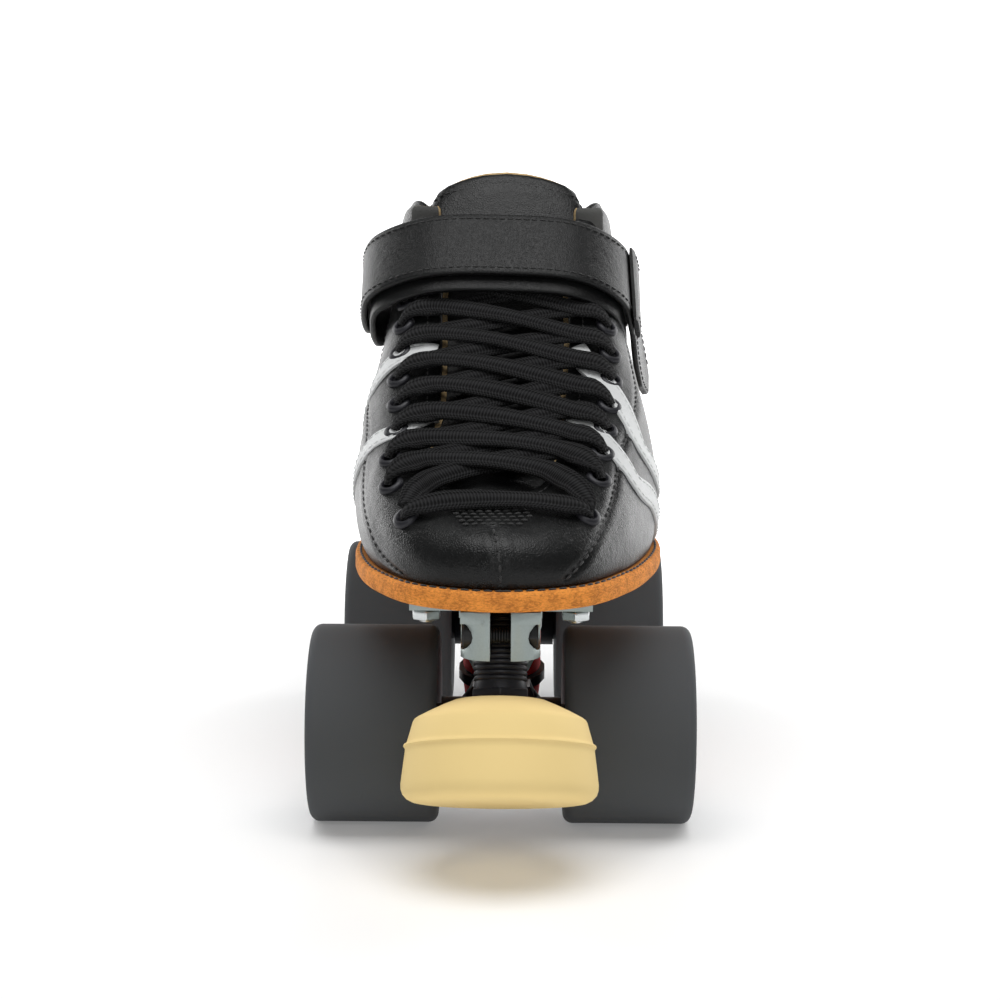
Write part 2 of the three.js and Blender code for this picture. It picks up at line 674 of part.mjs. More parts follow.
/** The cast plate: deck, ribs, truck mounts and the split nose that clamps the toe stop. */
function makePlate() {
  const half = deckOutline();
  const outline = [...half.map(([y, x]) => [x, y]), ...half.map(([y, x]) => [-x, y]).reverse()];
  const shape = new THREE.Shape(outline.map(([x, y]) => new THREE.Vector2(x, y)));
  const lifted = new THREE.Matrix4().makeTranslation(0, 0, DECK_BOTTOM);
  let plate = solid(new THREE.ExtrudeGeometry(shape, { depth: DECK_THICKNESS, bevelEnabled: false }), lifted);
  const ribTop = DECK_BOTTOM + 0.5;
  for (const x of [-DECK_WAIST / 2 + 4, DECK_WAIST / 2 - 4]) {
    plate = plate.add(block([x - 2, FRONT_AXLE_Y + 16, DECK_BOTTOM - 8], [x + 2, REAR_AXLE_Y - 16, ribTop]));
  }
  const noseBack = FRONT_AXLE_Y - 33;
  plate = plate.add(block([-NOSE_WIDTH / 2, NOSE_TIP_Y, NOSE_BOTTOM], [NOSE_WIDTH / 2, noseBack, ribTop]));
  plate = plate.add(moved(truckBosses(), frontTruckPlace)).add(moved(truckBosses(), rearTruckPlace));
  plate = plate.subtract(moved(truckBores(), frontTruckPlace)).subtract(moved(truckBores(), rearTruckPlace));
  plate = plate.subtract(rod(STEM_RADIUS + GAP, -60, 20, 20, padTop, toeAxis));
  const slitBack = FRONT_AXLE_Y - TOE_STOP_FORWARD + 3;
  const slit = CLAMP_SLIT / 2;
  plate = plate.subtract(block([-slit, NOSE_TIP_Y - 5, 0], [slit, slitBack, DECK_TOP + 5]));
  plate = plate.subtract(rod(CLAMP_BOLT_RADIUS + GAP, -30, 30, 12, V(0, CLAMP_Y, CLAMP_Z), AXIS_X));
  const seat = NOSE_WIDTH / 2 - 4;
  const pocket = (from, to) => rod(CLAMP_HEAD_RADIUS + GAP, from, to, 16, V(0, CLAMP_Y, CLAMP_Z), AXIS_X);
  plate = plate.subtract(pocket(-30, -seat)).subtract(pocket(seat, 30));
  return mountHoles(DECK_BOTTOM - 5, DECK_TOP + 5).reduce((body, hole) => body.subtract(hole), plate);
}

/** The nut in the nose's outer pocket. */
function makeClampNut() {
  const from = NOSE_WIDTH / 2 - 4 + GAP;
  const at = V(0, CLAMP_Y, CLAMP_Z);
  return hexNut(CLAMP_BOLT_RADIUS, CLAMP_HEAD_RADIUS, from, NOSE_WIDTH / 2 - 0.6, at, AXIS_X);
}

/** The socket-head bolt across the nose's slit. */
function makeClampBolt() {
  const seat = NOSE_WIDTH / 2 - 4;
  const at = V(0, CLAMP_Y, CLAMP_Z);
  const head = rod(CLAMP_HEAD_RADIUS, -NOSE_WIDTH / 2 + 0.4, -seat - GAP, 16, at, AXIS_X);
  const shank = rod(CLAMP_BOLT_RADIUS, -seat - 1, NOSE_WIDTH / 2 - 0.5, 12, at, AXIS_X);
  const socket = rod(1.9, -NOSE_WIDTH / 2 - 1, -NOSE_WIDTH / 2 + 2.2, 6, at, AXIS_X);
  return head.add(shank).subtract(socket);
}

/** A hexagon nut between two distances along an axis. */
function hexNut(bore, radius, from, to, point, direction) {
  const hole = rod(bore + GAP, from - 1, to + 1, 12, point, direction);
  return rod(radius, from, to, 6, point, direction).subtract(hole);
}

// ---- Trucks ----------------------------------------------------------------------------------

/** The hanger: axle tube, ring round the kingpin, web and pivot pin, in the truck's frame. */
function makeHanger() {
  const centre = V(0, 0, AXLE_Z);
  const step = Math.min(HANGER_END - 4, TRACK / 2 - WHEEL_WIDTH / 2 - 0.7);
  let hanger = rod(HANGER_TUBE_RADIUS, -step, step, 16, centre, AXIS_X);
  hanger = hanger.add(rod(AXLE_RADIUS + 2.4, -HANGER_END, HANGER_END, 16, centre, AXIS_X));
  hanger = hanger.add(rod(RING_RADIUS, -RING_THICKNESS / 2, RING_THICKNESS / 2, 18, ringCentre, kingpinUp));
  const reach = ringCentre.distanceTo(pivotCentre);
  hanger = hanger.add(rod(5, 20.5, reach + CUP_FROM - 2, 12, ringCentre, steerAxis));
  const pinEnd = reach + CUP_TO - 2;
  const pin = [
    [0, 22], [PIVOT_PIN_RADIUS, 22], [PIVOT_PIN_RADIUS, pinEnd - 2.5],
    [PIVOT_PIN_RADIUS - 2, pinEnd - 0.5], [0, pinEnd],
  ];
  hanger = hanger.add(turned(pin, 12, ringCentre, steerAxis));
  const web = [
    [-6, AXLE_Z - 2], [-11, AXLE_Z + 20], [-9.5, AXLE_Z + 25], [3, AXLE_Z + 19.5], [7, AXLE_Z + 14.5],
    [13, RING_HEIGHT - 3], [9, AXLE_Z + 1],
  ];
  hanger = hanger.add(sideProfile(web, 9));
  const shoulders = new THREE.Shape();
  shoulders.moveTo(-step, AXLE_Z).lineTo(-step, AXLE_Z + 4);
  shoulders.quadraticCurveTo(-11, AXLE_Z + 6, -9, RING_HEIGHT + 1).lineTo(9, RING_HEIGHT + 1);
  shoulders.quadraticCurveTo(11, AXLE_Z + 6, step, AXLE_Z + 4).lineTo(step, AXLE_Z);
  const wing = new THREE.ExtrudeGeometry(shoulders, { depth: 11, bevelEnabled: false, curveSegments: 4 });
  const upright = new THREE.Matrix4().makeRotationX(Math.PI / 2).setPosition(0, 6, 0);
  hanger = hanger.add(solid(wing, upright));
  const kingpinHole = rod(KINGPIN_RADIUS + 2.25, -20, 20, 14, ringCentre, kingpinUp);
  const axleHole = rod(AXLE_RADIUS + GAP, -100, 100, 12, centre, AXIS_X);
  return hanger.subtract(kingpinHole).subtract(axleHole);
}

const LOWER_CUSHION_FROM = -(RING_THICKNESS / 2 + GAP + LOWER_CUSHION_HEIGHT);
const WASHER_FROM = LOWER_CUSHION_FROM - GAP - WASHER_THICKNESS;
const NUT_FROM = WASHER_FROM - GAP - 6.5;

/** The parts that the kingpin carries, and the pivot's cup, in the truck's frame. */
function kingpinStack(end) {
  const bore = KINGPIN_RADIUS + GAP;
  const seat = RING_THICKNESS / 2 + GAP;
  const top = seat + UPPER_CUSHION_HEIGHT;
  const low = LOWER_CUSHION_FROM;
  const waist = seat + 0.42 * UPPER_CUSHION_HEIGHT;
  const upper = [
    [bore, seat], [CUSHION_RADIUS - 1.2, seat], [CUSHION_RADIUS, seat + 1.2], [CUSHION_RADIUS, waist - 1],
    [CUSHION_RADIUS - 1, waist], [CUSHION_RADIUS, waist + 1], [CUSHION_RADIUS, top], [bore, top],
    [bore, seat],
  ];
  const lower = [
    [bore, low], [CUSHION_RADIUS - 2.5, low], [CUSHION_RADIUS - 1.2, low + 2],
    [CUSHION_RADIUS - 0.5, -seat - 1], [CUSHION_RADIUS - 1.5, -seat], [bore, -seat], [bore, low],
  ];
  const kingpin = rod(KINGPIN_RADIUS, NUT_FROM - 2, KINGPIN_TOP, 12, ringCentre, kingpinUp);
  const nutTop = WASHER_FROM - GAP;
  const nut = hexNut(KINGPIN_RADIUS, KINGPIN_NUT_RADIUS, NUT_FROM, nutTop, ringCentre, kingpinUp);
  const washerTop = WASHER_FROM + WASHER_THICKNESS;
  const washer = ring(bore, CUSHION_RADIUS - 0.5, WASHER_FROM, washerTop, 20, ringCentre, kingpinUp);
  const cup = rod(PIVOT_CUP_RADIUS, CUP_FROM, CUP_TO, 20, pivotCentre, steerAxis);
  const pinBore = PIVOT_PIN_RADIUS + RUNNING + 0.15;
  const cupBore = rod(pinBore, CUP_FROM - 2, CUP_TO - 1.5, 16, pivotCentre, steerAxis);
  return [
    piece(`${end}_kingpin`, kingpin, STEEL),
    piece(`${end}_kingpin_nut`, nut, STEEL),
    piece(`${end}_cushion_washer`, washer, STEEL),
    piece(`${end}_upper_cushion`, turned(upper, 16, ringCentre, kingpinUp), RED_URETHANE),
    piece(`${end}_lower_cushion`, turned(lower, 16, ringCentre, kingpinUp), RED_URETHANE),
    piece(`${end}_pivot_cup`, cup.subtract(cupBore), LACE_CLOTH),
  ];
}

/** One wheel: tyre, hub and two bearings, its axis along X through the origin. */
function makeWheel(name) {
  const half = WHEEL_WIDTH / 2;
  const shoulder = WHEEL_RADIUS - TYRE_SHOULDER;
  const bore = HUB_RADIUS + GAP;
  const bend = TYRE_SHOULDER * (1 - Math.SQRT1_2);
  const side = [
    [WHEEL_RADIUS, half - TYRE_SHOULDER], [WHEEL_RADIUS - bend, half - bend], [shoulder, half],
    [bore + 2.5, half - 0.8], [bore, half - 3.2],
  ];
  const other = side.map(([radius, x]) => [radius, -x]).reverse();
  const tyre = turned([...other, ...side, other[0]], 22, V(0, 0, 0), AXIS_X);
  const face = half - 3.5;
  const seat = BEARING_RADIUS + GAP;
  const seatFloor = BEARING_SPREAD / 2 - GAP;
  const lip = BEARING_OUTER + 0.8;
  const core = [
    [seat, lip], [seat + 2, lip], [HUB_RADIUS - 2.5, lip], [HUB_RADIUS - 1.5, face], [HUB_RADIUS, face],
  ];
  const innerWall = AXLE_RADIUS + 3.2;
  const hubProfile = [
    [innerWall, -seatFloor], [seat, -seatFloor], ...core.map(([r, x]) => [r, -x]), ...core.slice().reverse(),
    [seat, seatFloor], [innerWall, seatFloor], [innerWall, -seatFloor],
  ];
  const hub = turned(hubProfile, 16, V(0, 0, 0), AXIS_X);
  const bearing = (from) => {
    const to = from + BEARING_WIDTH;
    return ring(AXLE_RADIUS + RUNNING, BEARING_RADIUS, from, to, 12, V(0, 0, 0), AXIS_X);
  };
  const group = new THREE.Group();
  group.add(piece(`${name}_tyre`, tyre, URETHANE));
  group.add(piece(`${name}_hub`, hub, HUB_PLASTIC));
  group.add(piece(`${name}_bearing_inboard`, bearing(-BEARING_OUTER), STEEL));
  group.add(piece(`${name}_bearing_outboard`, bearing(BEARING_OUTER - BEARING_WIDTH), STEEL));
  return group;
}

/** A whole truck with its wheels. The rear truck is the front one turned about. */
function makeTruck(end, axleY, turn) {
  const truck = new THREE.Group();
  truck.position.y = axleY;
  truck.rotation.z = turn;
  truck.add(...kingpinStack(end));
  truck.add(piece(`${end}_hanger`, makeHanger(), BLACK_METAL));
  const centre = V(0, 0, AXLE_Z);
  const nutFrom = TRACK / 2 + BEARING_OUTER + GAP;
  const axleEnd = nutFrom + AXLE_NUT_WIDTH + 0.8;
  truck.add(piece(`${end}_axle`, rod(AXLE_RADIUS, -axleEnd, axleEnd, 12, centre, AXIS_X), STEEL));
  for (const [side, sign] of [["outer", 1], ["inner", -1]]) {
    const facing = turn === 0 ? sign : -sign; // the turned truck's sides change places
    const nutTo = nutFrom + AXLE_NUT_WIDTH;
    const nut = hexNut(AXLE_RADIUS, AXLE_NUT_RADIUS, nutFrom, nutTo, centre, V(facing, 0, 0));
    truck.add(piece(`${end}_${side}_axle_nut`, nut, BLACK_METAL));
    const wheel = makeWheel(`${end}_${side}`);
    wheel.position.set((facing * TRACK) / 2, 0, AXLE_Z);
    wheel.rotation.z = facing > 0 ? 0 : Math.PI;
    truck.add(wheel);
  }
  return truck;
}

// ---- The toe stop ----------------------------------------------------------------------------

/** The moulded pad: a domed top, a ridge round its wall and a rounded foot. */
function makePad() {
  const bore = STEM_RADIUS + GAP;
  const wall = PAD_RADIUS - 1;
  const profile = [
    [bore, 0], [13, 0], [PAD_RADIUS - 4.5, 6], [wall - 0.8, 12], [wall - 0.6, 13], [wall + 0.3, 13.6],
    [wall - 0.2, 14.4], [PAD_RADIUS, PAD_HEIGHT - 5], [PAD_RADIUS - 1.2, PAD_HEIGHT - 2],
    [PAD_RADIUS - 4.5, PAD_HEIGHT],
    [0, PAD_HEIGHT], [0, STEM_IN_PAD + GAP], [bore, STEM_IN_PAD + GAP], [bore, 0],
  ];
  return turned(profile, 26, padTop, toeAxis);
}

/** The threaded stem with its hexagon above the pad. */
function makeStem() {
  const shank = rod(STEM_RADIUS, -STEM_ABOVE_PAD, STEM_IN_PAD, 20, padTop, toeAxis);
  return shank.add(rod(STEM_RADIUS + 1.6, -STEM_HEX_HEIGHT - GAP, -GAP, 6, padTop, toeAxis));
}

// ---- The whole skate -------------------------------------------------------------------------
const skate = new THREE.Group();
skate.add(
  piece("upper", makeUpper(), BLACK_LEATHER),
  piece("sole", makeSole(), TAN_LEATHER),
  piece("heel_block", makeHeel(), TAN_LEATHER),
  piece("insole", makeInsole(), TAN_LEATHER),
  piece("tongue", makeTongue(), BLACK_LEATHER),
  piece("laces", makeLaces(), LACE_CLOTH),
  piece("strap_base", makeStrapBase(), BLACK_LEATHER),
  piece("strap_flap", makeStrapFlap(), BLACK_LEATHER),
  piece("strap_tail", makeStrapTail(), BLACK_LEATHER),
  piece("strap_ring", makeRing(), STEEL),
  piece("strap_keeper", makeKeeper(), BLACK_LEATHER),
  piece("baseplate", makePlate(), GREY_METAL),
  piece("clamp_bolt", makeClampBolt(), STEEL),
  piece("clamp_nut", makeClampNut(), STEEL),
  piece("toe_stop_stem", makeStem(), BLACK_METAL),
  piece("toe_stop_pad", makePad(), PAD_URETHANE),
  makeTruck("front", FRONT_AXLE_Y, 0),
  makeTruck("rear", REAR_AXLE_Y, Math.PI),
);
for (const [name, x, y] of MOUNT_BOLTS) {
  const rear = name.startsWith("rear");
  const headSeat = SOLE_BOTTOM + SOLE_THICKNESS + GAP + (rear ? HEEL_LIFT : 0);
  const nutTop = DECK_BOTTOM - GAP;
  const nutBottom = nutTop - MOUNT_NUT_HEIGHT;
  const shank = rod(MOUNT_BOLT_RADIUS, nutBottom - 1, headSeat + 0.5, 12, V(x, y, 0), AXIS_Z);
  const head = rod(MOUNT_HEAD_RADIUS, headSeat, headSeat + MOUNT_HEAD_HEIGHT, 16, V(x, y, 0), AXIS_Z);
  const nut = hexNut(MOUNT_BOLT_RADIUS, MOUNT_NUT_RADIUS, nutBottom, nutTop, V(x, y, 0), AXIS_Z);
  skate.add(piece(`mount_bolt_${name}`, shank.add(head), STEEL));
  skate.add(piece(`mount_nut_${name}`, nut, STEEL));
}

// The frame's origin is on the floor under the middle of the whole skate.
const bounds = new THREE.Box3().setFromObject(skate, true);
const middle = bounds.getCenter(V(0, 0, 0));
skate.position.set(-middle.x, -middle.y, -bounds.min.z);

export default skate;
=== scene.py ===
"""A left quad roller skate: laced leather boot, cast plate, sprung trucks, four wheels, toe stop.

A shape is made in millimetres, in the skate's own frame, and its finished mesh is in metres.
+Z is up, the toe points towards -Y and +X is the outer side of the foot.
"""

import logging
import math
from dataclasses import dataclass
from enum import Enum
from typing import Callable, Iterable, Sequence

import bmesh
import bpy
import numpy as np
from mathutils import Matrix, Vector


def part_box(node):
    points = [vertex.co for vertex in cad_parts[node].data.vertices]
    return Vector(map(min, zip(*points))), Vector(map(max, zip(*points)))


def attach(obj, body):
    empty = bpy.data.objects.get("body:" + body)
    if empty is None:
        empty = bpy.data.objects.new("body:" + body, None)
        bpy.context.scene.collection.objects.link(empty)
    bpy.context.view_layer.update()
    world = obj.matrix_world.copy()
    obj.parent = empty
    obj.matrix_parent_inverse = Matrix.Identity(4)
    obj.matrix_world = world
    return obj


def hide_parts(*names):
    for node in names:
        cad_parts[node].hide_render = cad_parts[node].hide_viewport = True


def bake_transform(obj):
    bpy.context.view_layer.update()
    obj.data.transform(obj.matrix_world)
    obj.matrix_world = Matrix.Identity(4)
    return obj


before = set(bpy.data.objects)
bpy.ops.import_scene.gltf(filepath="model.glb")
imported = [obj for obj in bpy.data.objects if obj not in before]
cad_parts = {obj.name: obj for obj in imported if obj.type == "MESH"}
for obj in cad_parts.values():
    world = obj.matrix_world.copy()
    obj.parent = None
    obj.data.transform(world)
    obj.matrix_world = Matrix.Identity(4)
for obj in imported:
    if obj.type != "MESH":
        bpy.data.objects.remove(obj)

logging.basicConfig(level=logging.INFO, format="%(message)s")
log = logging.getLogger("skate")

MM = 0.001
SHARP_BEND = math.radians(32)
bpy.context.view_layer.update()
Point = Sequence[float]
Profile = Sequence[tuple[float, float]]
Colour = tuple[float, float, float]
Zone = Callable[[float, float], int]
Place = Callable[[np.ndarray, np.ndarray], np.ndarray]
Shape = bmesh.types.BMesh


class Body(Enum):
    """The bodies that pieces move with."""

    BOOT = "boot_and_plate"
    TOE_STOP = "toe_stop"
    STRAP_TAIL = "strap_tail"
    FRONT_TRUCK = "front_truck"
    REAR_TRUCK = "rear_truck"


class Slot(Enum):
    """The material slots."""

    LEATHER = "black_leather"
    TAN = "tan_leather"
    LACE = "lace_cloth"
    STEEL = "bright_steel"
    BLACK_METAL = "black_metal"
    ALUMINIUM = "plate_aluminium"
    TYRE = "tyre_urethane"
    HUB = "hub_plastic"
    CUSHION = "cushion_urethane"
    PAD = "pad_urethane"
    CUP = "cup_plastic"


def centre(node: str) -> np.ndarray:
    """The middle of a frame node's box, in millimetres."""
    low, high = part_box(node)
    return np.array((low + high) / 2) / MM


FRONT_AXLE = centre("front_axle")
REAR_AXLE = centre("rear_axle")


# ---- Finishes --------------------------------------------------------------------------------


class Wire:
    """A socket that takes part in sums: each sum adds a Math node to its tree."""

    def __init__(self, shader: "Shader", socket: bpy.types.NodeSocket) -> None:
        """Keeps the socket and the tree that it belongs to."""
        self.shader = shader
        self.socket = socket

    def __add__(self, other: "Wire | float") -> "Wire":
        """This plus other."""
        return self.shader.maths("ADD", self, other)

    def __sub__(self, other: "Wire | float") -> "Wire":
        """This less other."""
        return self.shader.maths("SUBTRACT", self, other)

    def __rsub__(self, other: float) -> "Wire":
        """Other less this."""
        return self.shader.maths("SUBTRACT", other, self)

    def __mul__(self, other: "Wire | float") -> "Wire":
        """This times other."""
        return self.shader.maths("MULTIPLY", self, other)

    def __pow__(self, other: float) -> "Wire":
        """This to the power of other."""
        return self.shader.maths("POWER", self, other)

    __radd__ = __add__
    __rmul__ = __mul__

    def sine(self) -> "Wire":
        """The sine of this."""
        return self.shader.maths("SINE", self)

    def size(self) -> "Wire":
        """This without its sign."""
        return self.shader.maths("ABSOLUTE", self)


class Shader:
    """The node tree of one finish, with what its patterns are made from."""

    def __init__(self, name: str) -> None:
        """Starts a material with one surface shader.

        Args:
            name: the material's name.
        """
        self.material = bpy.data.materials.new(name)
        self.material.use_nodes = True
        self.tree = self.material.node_tree
        self.tree.nodes.clear()
        self.surface = self.node("ShaderNodeBsdfPrincipled")
        shine = Wire(self, self.surface.outputs[0])
        self.node("ShaderNodeOutputMaterial", sockets={"Surface": shine})

    def node(self, kind: str, settings: dict | None = None, sockets: dict | None = None) -> bpy.types.Node:
        """A node of the tree.

        Args:
            kind: Blender's name of the node's type.
            settings: attributes set first; "stops" holds a ramp's (place, colour) pairs.
            sockets: a value or a wire for each named or numbered input.

        Returns:
            The node.
        """
        made = self.tree.nodes.new(kind)
        for key, value in (settings or {}).items():
            if key != "stops":
                setattr(made, key, value)
                continue
            elements = made.color_ramp.elements
            while len(elements) < len(value):
                elements.new(0.5)
            for element, (place, colour) in zip(elements, value):
                element.position = place
                element.color = (*colour, 1)
        for key, value in (sockets or {}).items():
            if isinstance(value, Wire):
                self.tree.links.new(value.socket, made.inputs[key])
            else:
                made.inputs[key].default_value = value
        return made

    def maths(self, operation: str, *values: "Wire | float") -> Wire:
        """The result of a Math node on values."""
        made = self.node("ShaderNodeMath", {"operation": operation}, dict(enumerate(values)))
        return Wire(self, made.outputs[0])

    def place(self, output: str = "Object") -> Wire:
        """Where the surface is: its own metres, or its UV map in millimetres."""
        return Wire(self, self.node("ShaderNodeTexCoord").outputs[output])

    def stretched(self, at: Wire, scale: Point) -> Wire:
        """A place stretched along its axes."""
        sockets = {"Vector": at, "Scale": tuple(scale)}
        return Wire(self, self.node("ShaderNodeMapping", sockets=sockets).outputs[0])

    def axes(self, at: Wire) -> list[Wire]:
        """The three numbers of a place."""
        made = self.node("ShaderNodeSeparateXYZ", sockets={0: at})
        return [Wire(self, made.outputs[i]) for i in range(3)]

    def noise(self, at: Wire, scale: float, detail: float = 3, rough: float = 0.5) -> Wire:
        """Soft noise from 0 to 1, scale waves to a unit of the place."""
        sockets = {"Vector": at, "Scale": scale, "Detail": detail, "Roughness": rough}
        return Wire(self, self.node("ShaderNodeTexNoise", sockets=sockets).outputs[0])

    def cells(self, at: Wire, scale: float) -> Wire:
        """The distance to the nearest cell's edge.

        Args:
            at: the place.
            scale: cells to a unit of the place.

        Returns:
            The distance.
        """
        settings = {"feature": "DISTANCE_TO_EDGE"}
        made = self.node("ShaderNodeTexVoronoi", settings, {"Vector": at, "Scale": scale})
        return Wire(self, made.outputs["Distance"])

    def step(self, value: Wire, low: float, high: float) -> Wire:
        """A smooth rise from 0 at low to 1 at high.

        Args:
            value: what rises.
            low: where the rise starts.
            high: where it ends.

        Returns:
            The step.
        """
        sockets = {"Value": value, "From Min": low, "From Max": high}
        made = self.node("ShaderNodeMapRange", {"interpolation_type": "SMOOTHSTEP"}, sockets)
        return Wire(self, made.outputs[0])

    def mix(self, share: Wire, first: "Colour | Wire", second: "Colour | Wire") -> Wire:
        """A colour between two, by a share from 0 to 1.

        Args:
            share: how much of the second.
            first: a colour.
            second: another.

        Returns:
            The mixed colour.
        """
        pair = [c if isinstance(c, Wire) else (*c, 1) for c in (first, second)]
        made = self.node("ShaderNodeMix", {"data_type": "RGBA"}, {0: share, 6: pair[0], 7: pair[1]})
        return Wire(self, made.outputs[2])

    def finish(self, colour: Wire, rough: Wire, height: Wire, depth: float, **constants: object) -> None:
        """Joins the patterns to the surface.

        Args:
            colour: the base colour.
            rough: the roughness.
            height: the relief's height, from 0 to 1.
            depth: the relief's depth in millimetres.
            constants: the surface's other sockets, their names with _ for a space.
        """
        bump = self.node("ShaderNodeBump", sockets={"Height": height, "Distance": depth * MM, "Strength": 1.0})
        joined = {"Base Color": colour, "Roughness": rough, "Normal": Wire(self, bump.outputs[0])}
        for socket, wire in joined.items():
            self.tree.links.new(wire.socket, self.surface.inputs[socket])
        for key, value in constants.items():
            self.surface.inputs[key.replace("_", " ")].default_value = value


@dataclass(frozen=True)
class Finish:
    """A finish: its material is made once and shared."""

    name: str

    def pattern(self, shader: Shader) -> None:
        """Adds the finish's patterns to its shader."""
        raise NotImplementedError

    def material(self) -> bpy.types.Material:
        """The finish's material.

        Returns:
            The material, the same one each time.
        """
        known = bpy.data.materials.get(self.name)
        if known:
            return known
        shader = Shader(self.name)
        self.pattern(shader)
        return shader.material


@dataclass(frozen=True)
class GrainedLeather(Finish):
    """Dyed leather: pebbled grain, fine pores, flex creases and rubbed, greyer patches."""

    dark: Colour = (0.0028, 0.003, 0.003)
    light: Colour = (0.0075, 0.008, 0.008)
    rubbed: Colour = (0.028, 0.03, 0.028)
    grain: float = 0.8
    depth: float = 0.09
    rough: float = 0.27
    coat: float = 0.03

    def pattern(self, shader: Shader) -> None:
        """Pebbles with worn tops, crossed by faint creases.

        Args:
            shader: the finish's shader.
        """
        at = shader.place()
        cloud = shader.noise(at, 38, 4)
        pebbles = shader.step(shader.cells(at, 1000 / self.grain), 0.0, 0.32)
        pores = shader.noise(at, 3600, 2)
        creases = shader.step(shader.noise(shader.stretched(at, (1, 2.4, 1.6)), 160, 5, 0.62), 0.35, 0.62)
        wear = shader.step(shader.noise(at, 75, 6, 0.68), 0.6, 0.78)
        dyed = shader.mix(cloud, self.dark, self.light)
        colour = shader.mix(wear * 0.55 * pebbles, dyed, self.rubbed)
        rough = self.rough + 0.12 * cloud + 0.1 * wear - 0.05 * pebbles
        height = pebbles * 0.55 + pores * 0.12 + creases * 0.5
        shader.finish(
            colour, rough, height, self.depth,
            Coat_Weight=self.coat, Coat_Roughness=0.22, Specular_IOR_Level=0.22,
        )


@dataclass(frozen=True)
class RawLeather(Finish):
    """Undyed leather cut across: matted fibres, pores and darker stains."""

    dark: Colour = (0.42, 0.14, 0.024)
    light: Colour = (0.84, 0.31, 0.055)
    stain: Colour = (0.2, 0.07, 0.018)
    depth: float = 0.2

    def pattern(self, shader: Shader) -> None:
        """Fibres that lie along the edge.

        Args:
            shader: the finish's shader.
        """
        at = shader.place()
        fibres = shader.noise(shader.stretched(at, (1, 1, 2.6)), 900, 6, 0.7)
        mats = shader.noise(at, 240, 4, 0.6)
        pits = shader.step(shader.noise(at, 1500, 2), 0.62, 0.7)
        stains = shader.step(shader.noise(at, 55, 5, 0.6), 0.56, 0.72)
        tan = shader.mix(shader.step(fibres * 0.65 + mats * 0.35, 0.36, 0.62), self.dark, self.light)
        colour = shader.mix(pits * 0.3 + stains * 0.14, tan, self.stain)
        height = fibres * 0.8 + mats * 0.5 - pits * 0.5
        shader.finish(colour, 0.78 + 0.15 * mats, height, self.depth, Specular_IOR_Level=0.25)


@dataclass(frozen=True)
class StackedLeather(RawLeather):
    """Raw leather glued in layers, one every few millimetres."""

    layer: float = 3.1

    def pattern(self, shader: Shader) -> None:
        """Level glue lines between fibrous layers.

        Args:
            shader: the finish's shader.
        """
        at = shader.place()
        fibres = shader.noise(shader.stretched(at, (1, 1, 3)), 800, 6, 0.7)
        waver = shader.noise(at, 60, 2) * 0.6
        across = (shader.axes(at)[2] * (2000 * math.pi / self.layer / 2) + waver).sine().size()
        glue = 1 - shader.step(across, 0.02, 0.2)
        colour = shader.mix(glue, shader.mix(fibres, self.dark, self.light), self.stain)
        shader.finish(colour, 0.62 + 0.2 * fibres, fibres * 0.5 - glue, self.depth)


@dataclass(frozen=True)
class Cloth(Finish):
    """Plain woven cloth on its object's own metres, such as a lining."""

    dark: Colour = (0.012, 0.012, 0.013)
    light: Colour = (0.05, 0.05, 0.05)
    pitch: float = 0.9

    def pattern(self, shader: Shader) -> None:
        """Crossed threads with slubs.

        Args:
            shader: the finish's shader.
        """
        at = shader.place()
        x, y, z = shader.axes(at)
        turn = 1000 * math.pi / self.pitch
        over = (((x + z) * turn).sine() * ((y + z) * turn).sine()).size()
        slubs = shader.noise(at, 420, 4, 0.6)
        colour = shader.mix(over * 0.6 + slubs * 0.4, self.dark, self.light)
        shader.finish(colour, 0.86 + 0.1 * slubs, over + slubs * 0.5, 0.12, Sheen_Weight=0.25)


@dataclass(frozen=True)
class Braid(Finish):
    """Flat braided lace: ribs slant both ways from its middle line, on its UV millimetres."""

    dark: Colour = (0.001, 0.001, 0.0011)
    light: Colour = (0.024, 0.024, 0.025)
    pitch: float = 1.05

    def pattern(self, shader: Shader) -> None:
        """Slanting ribs, stray fibres and a little lint.

        Args:
            shader: the finish's shader.
        """
        at = shader.place("UV")
        along, across, _ = shader.axes(at)
        turn = 2 * math.pi / self.pitch
        slant = ((across * 1.15).sine() * 0.55 + along) * turn
        ribs = slant.sine() * 0.5 + 0.5
        columns = (across * (turn * 0.95)).sine() * 0.5 + 0.5
        lint = shader.noise(at, 5, 5, 0.75)
        knit = ribs * 0.55 + columns * 0.45
        colour = shader.mix(shader.step(knit * 0.75 + lint * 0.45, 0.25, 0.95), self.dark, self.light)
        shader.finish(colour, 0.8 + 0.15 * lint, knit + lint * 0.3, 0.45, Specular_IOR_Level=0.16)


@dataclass(frozen=True)
class Thread(Finish):
    """Twisted sewing thread."""

    dark: Colour = (0.003, 0.003, 0.003)
    light: Colour = (0.018, 0.018, 0.018)

    def pattern(self, shader: Shader) -> None:
        """Fine slanting plies.

        Args:
            shader: the finish's shader.
        """
        at = shader.place()
        x, y, z = shader.axes(at)
        plies = ((x + y + z) * 9000).sine() * 0.5 + 0.5
        fluff = shader.noise(at, 2500, 3)
        colour = shader.mix(plies * 0.6 + fluff * 0.4, self.dark, self.light)
        shader.finish(colour, 0.6 + 0.25 * fluff, plies, 0.06, Sheen_Weight=0.2)


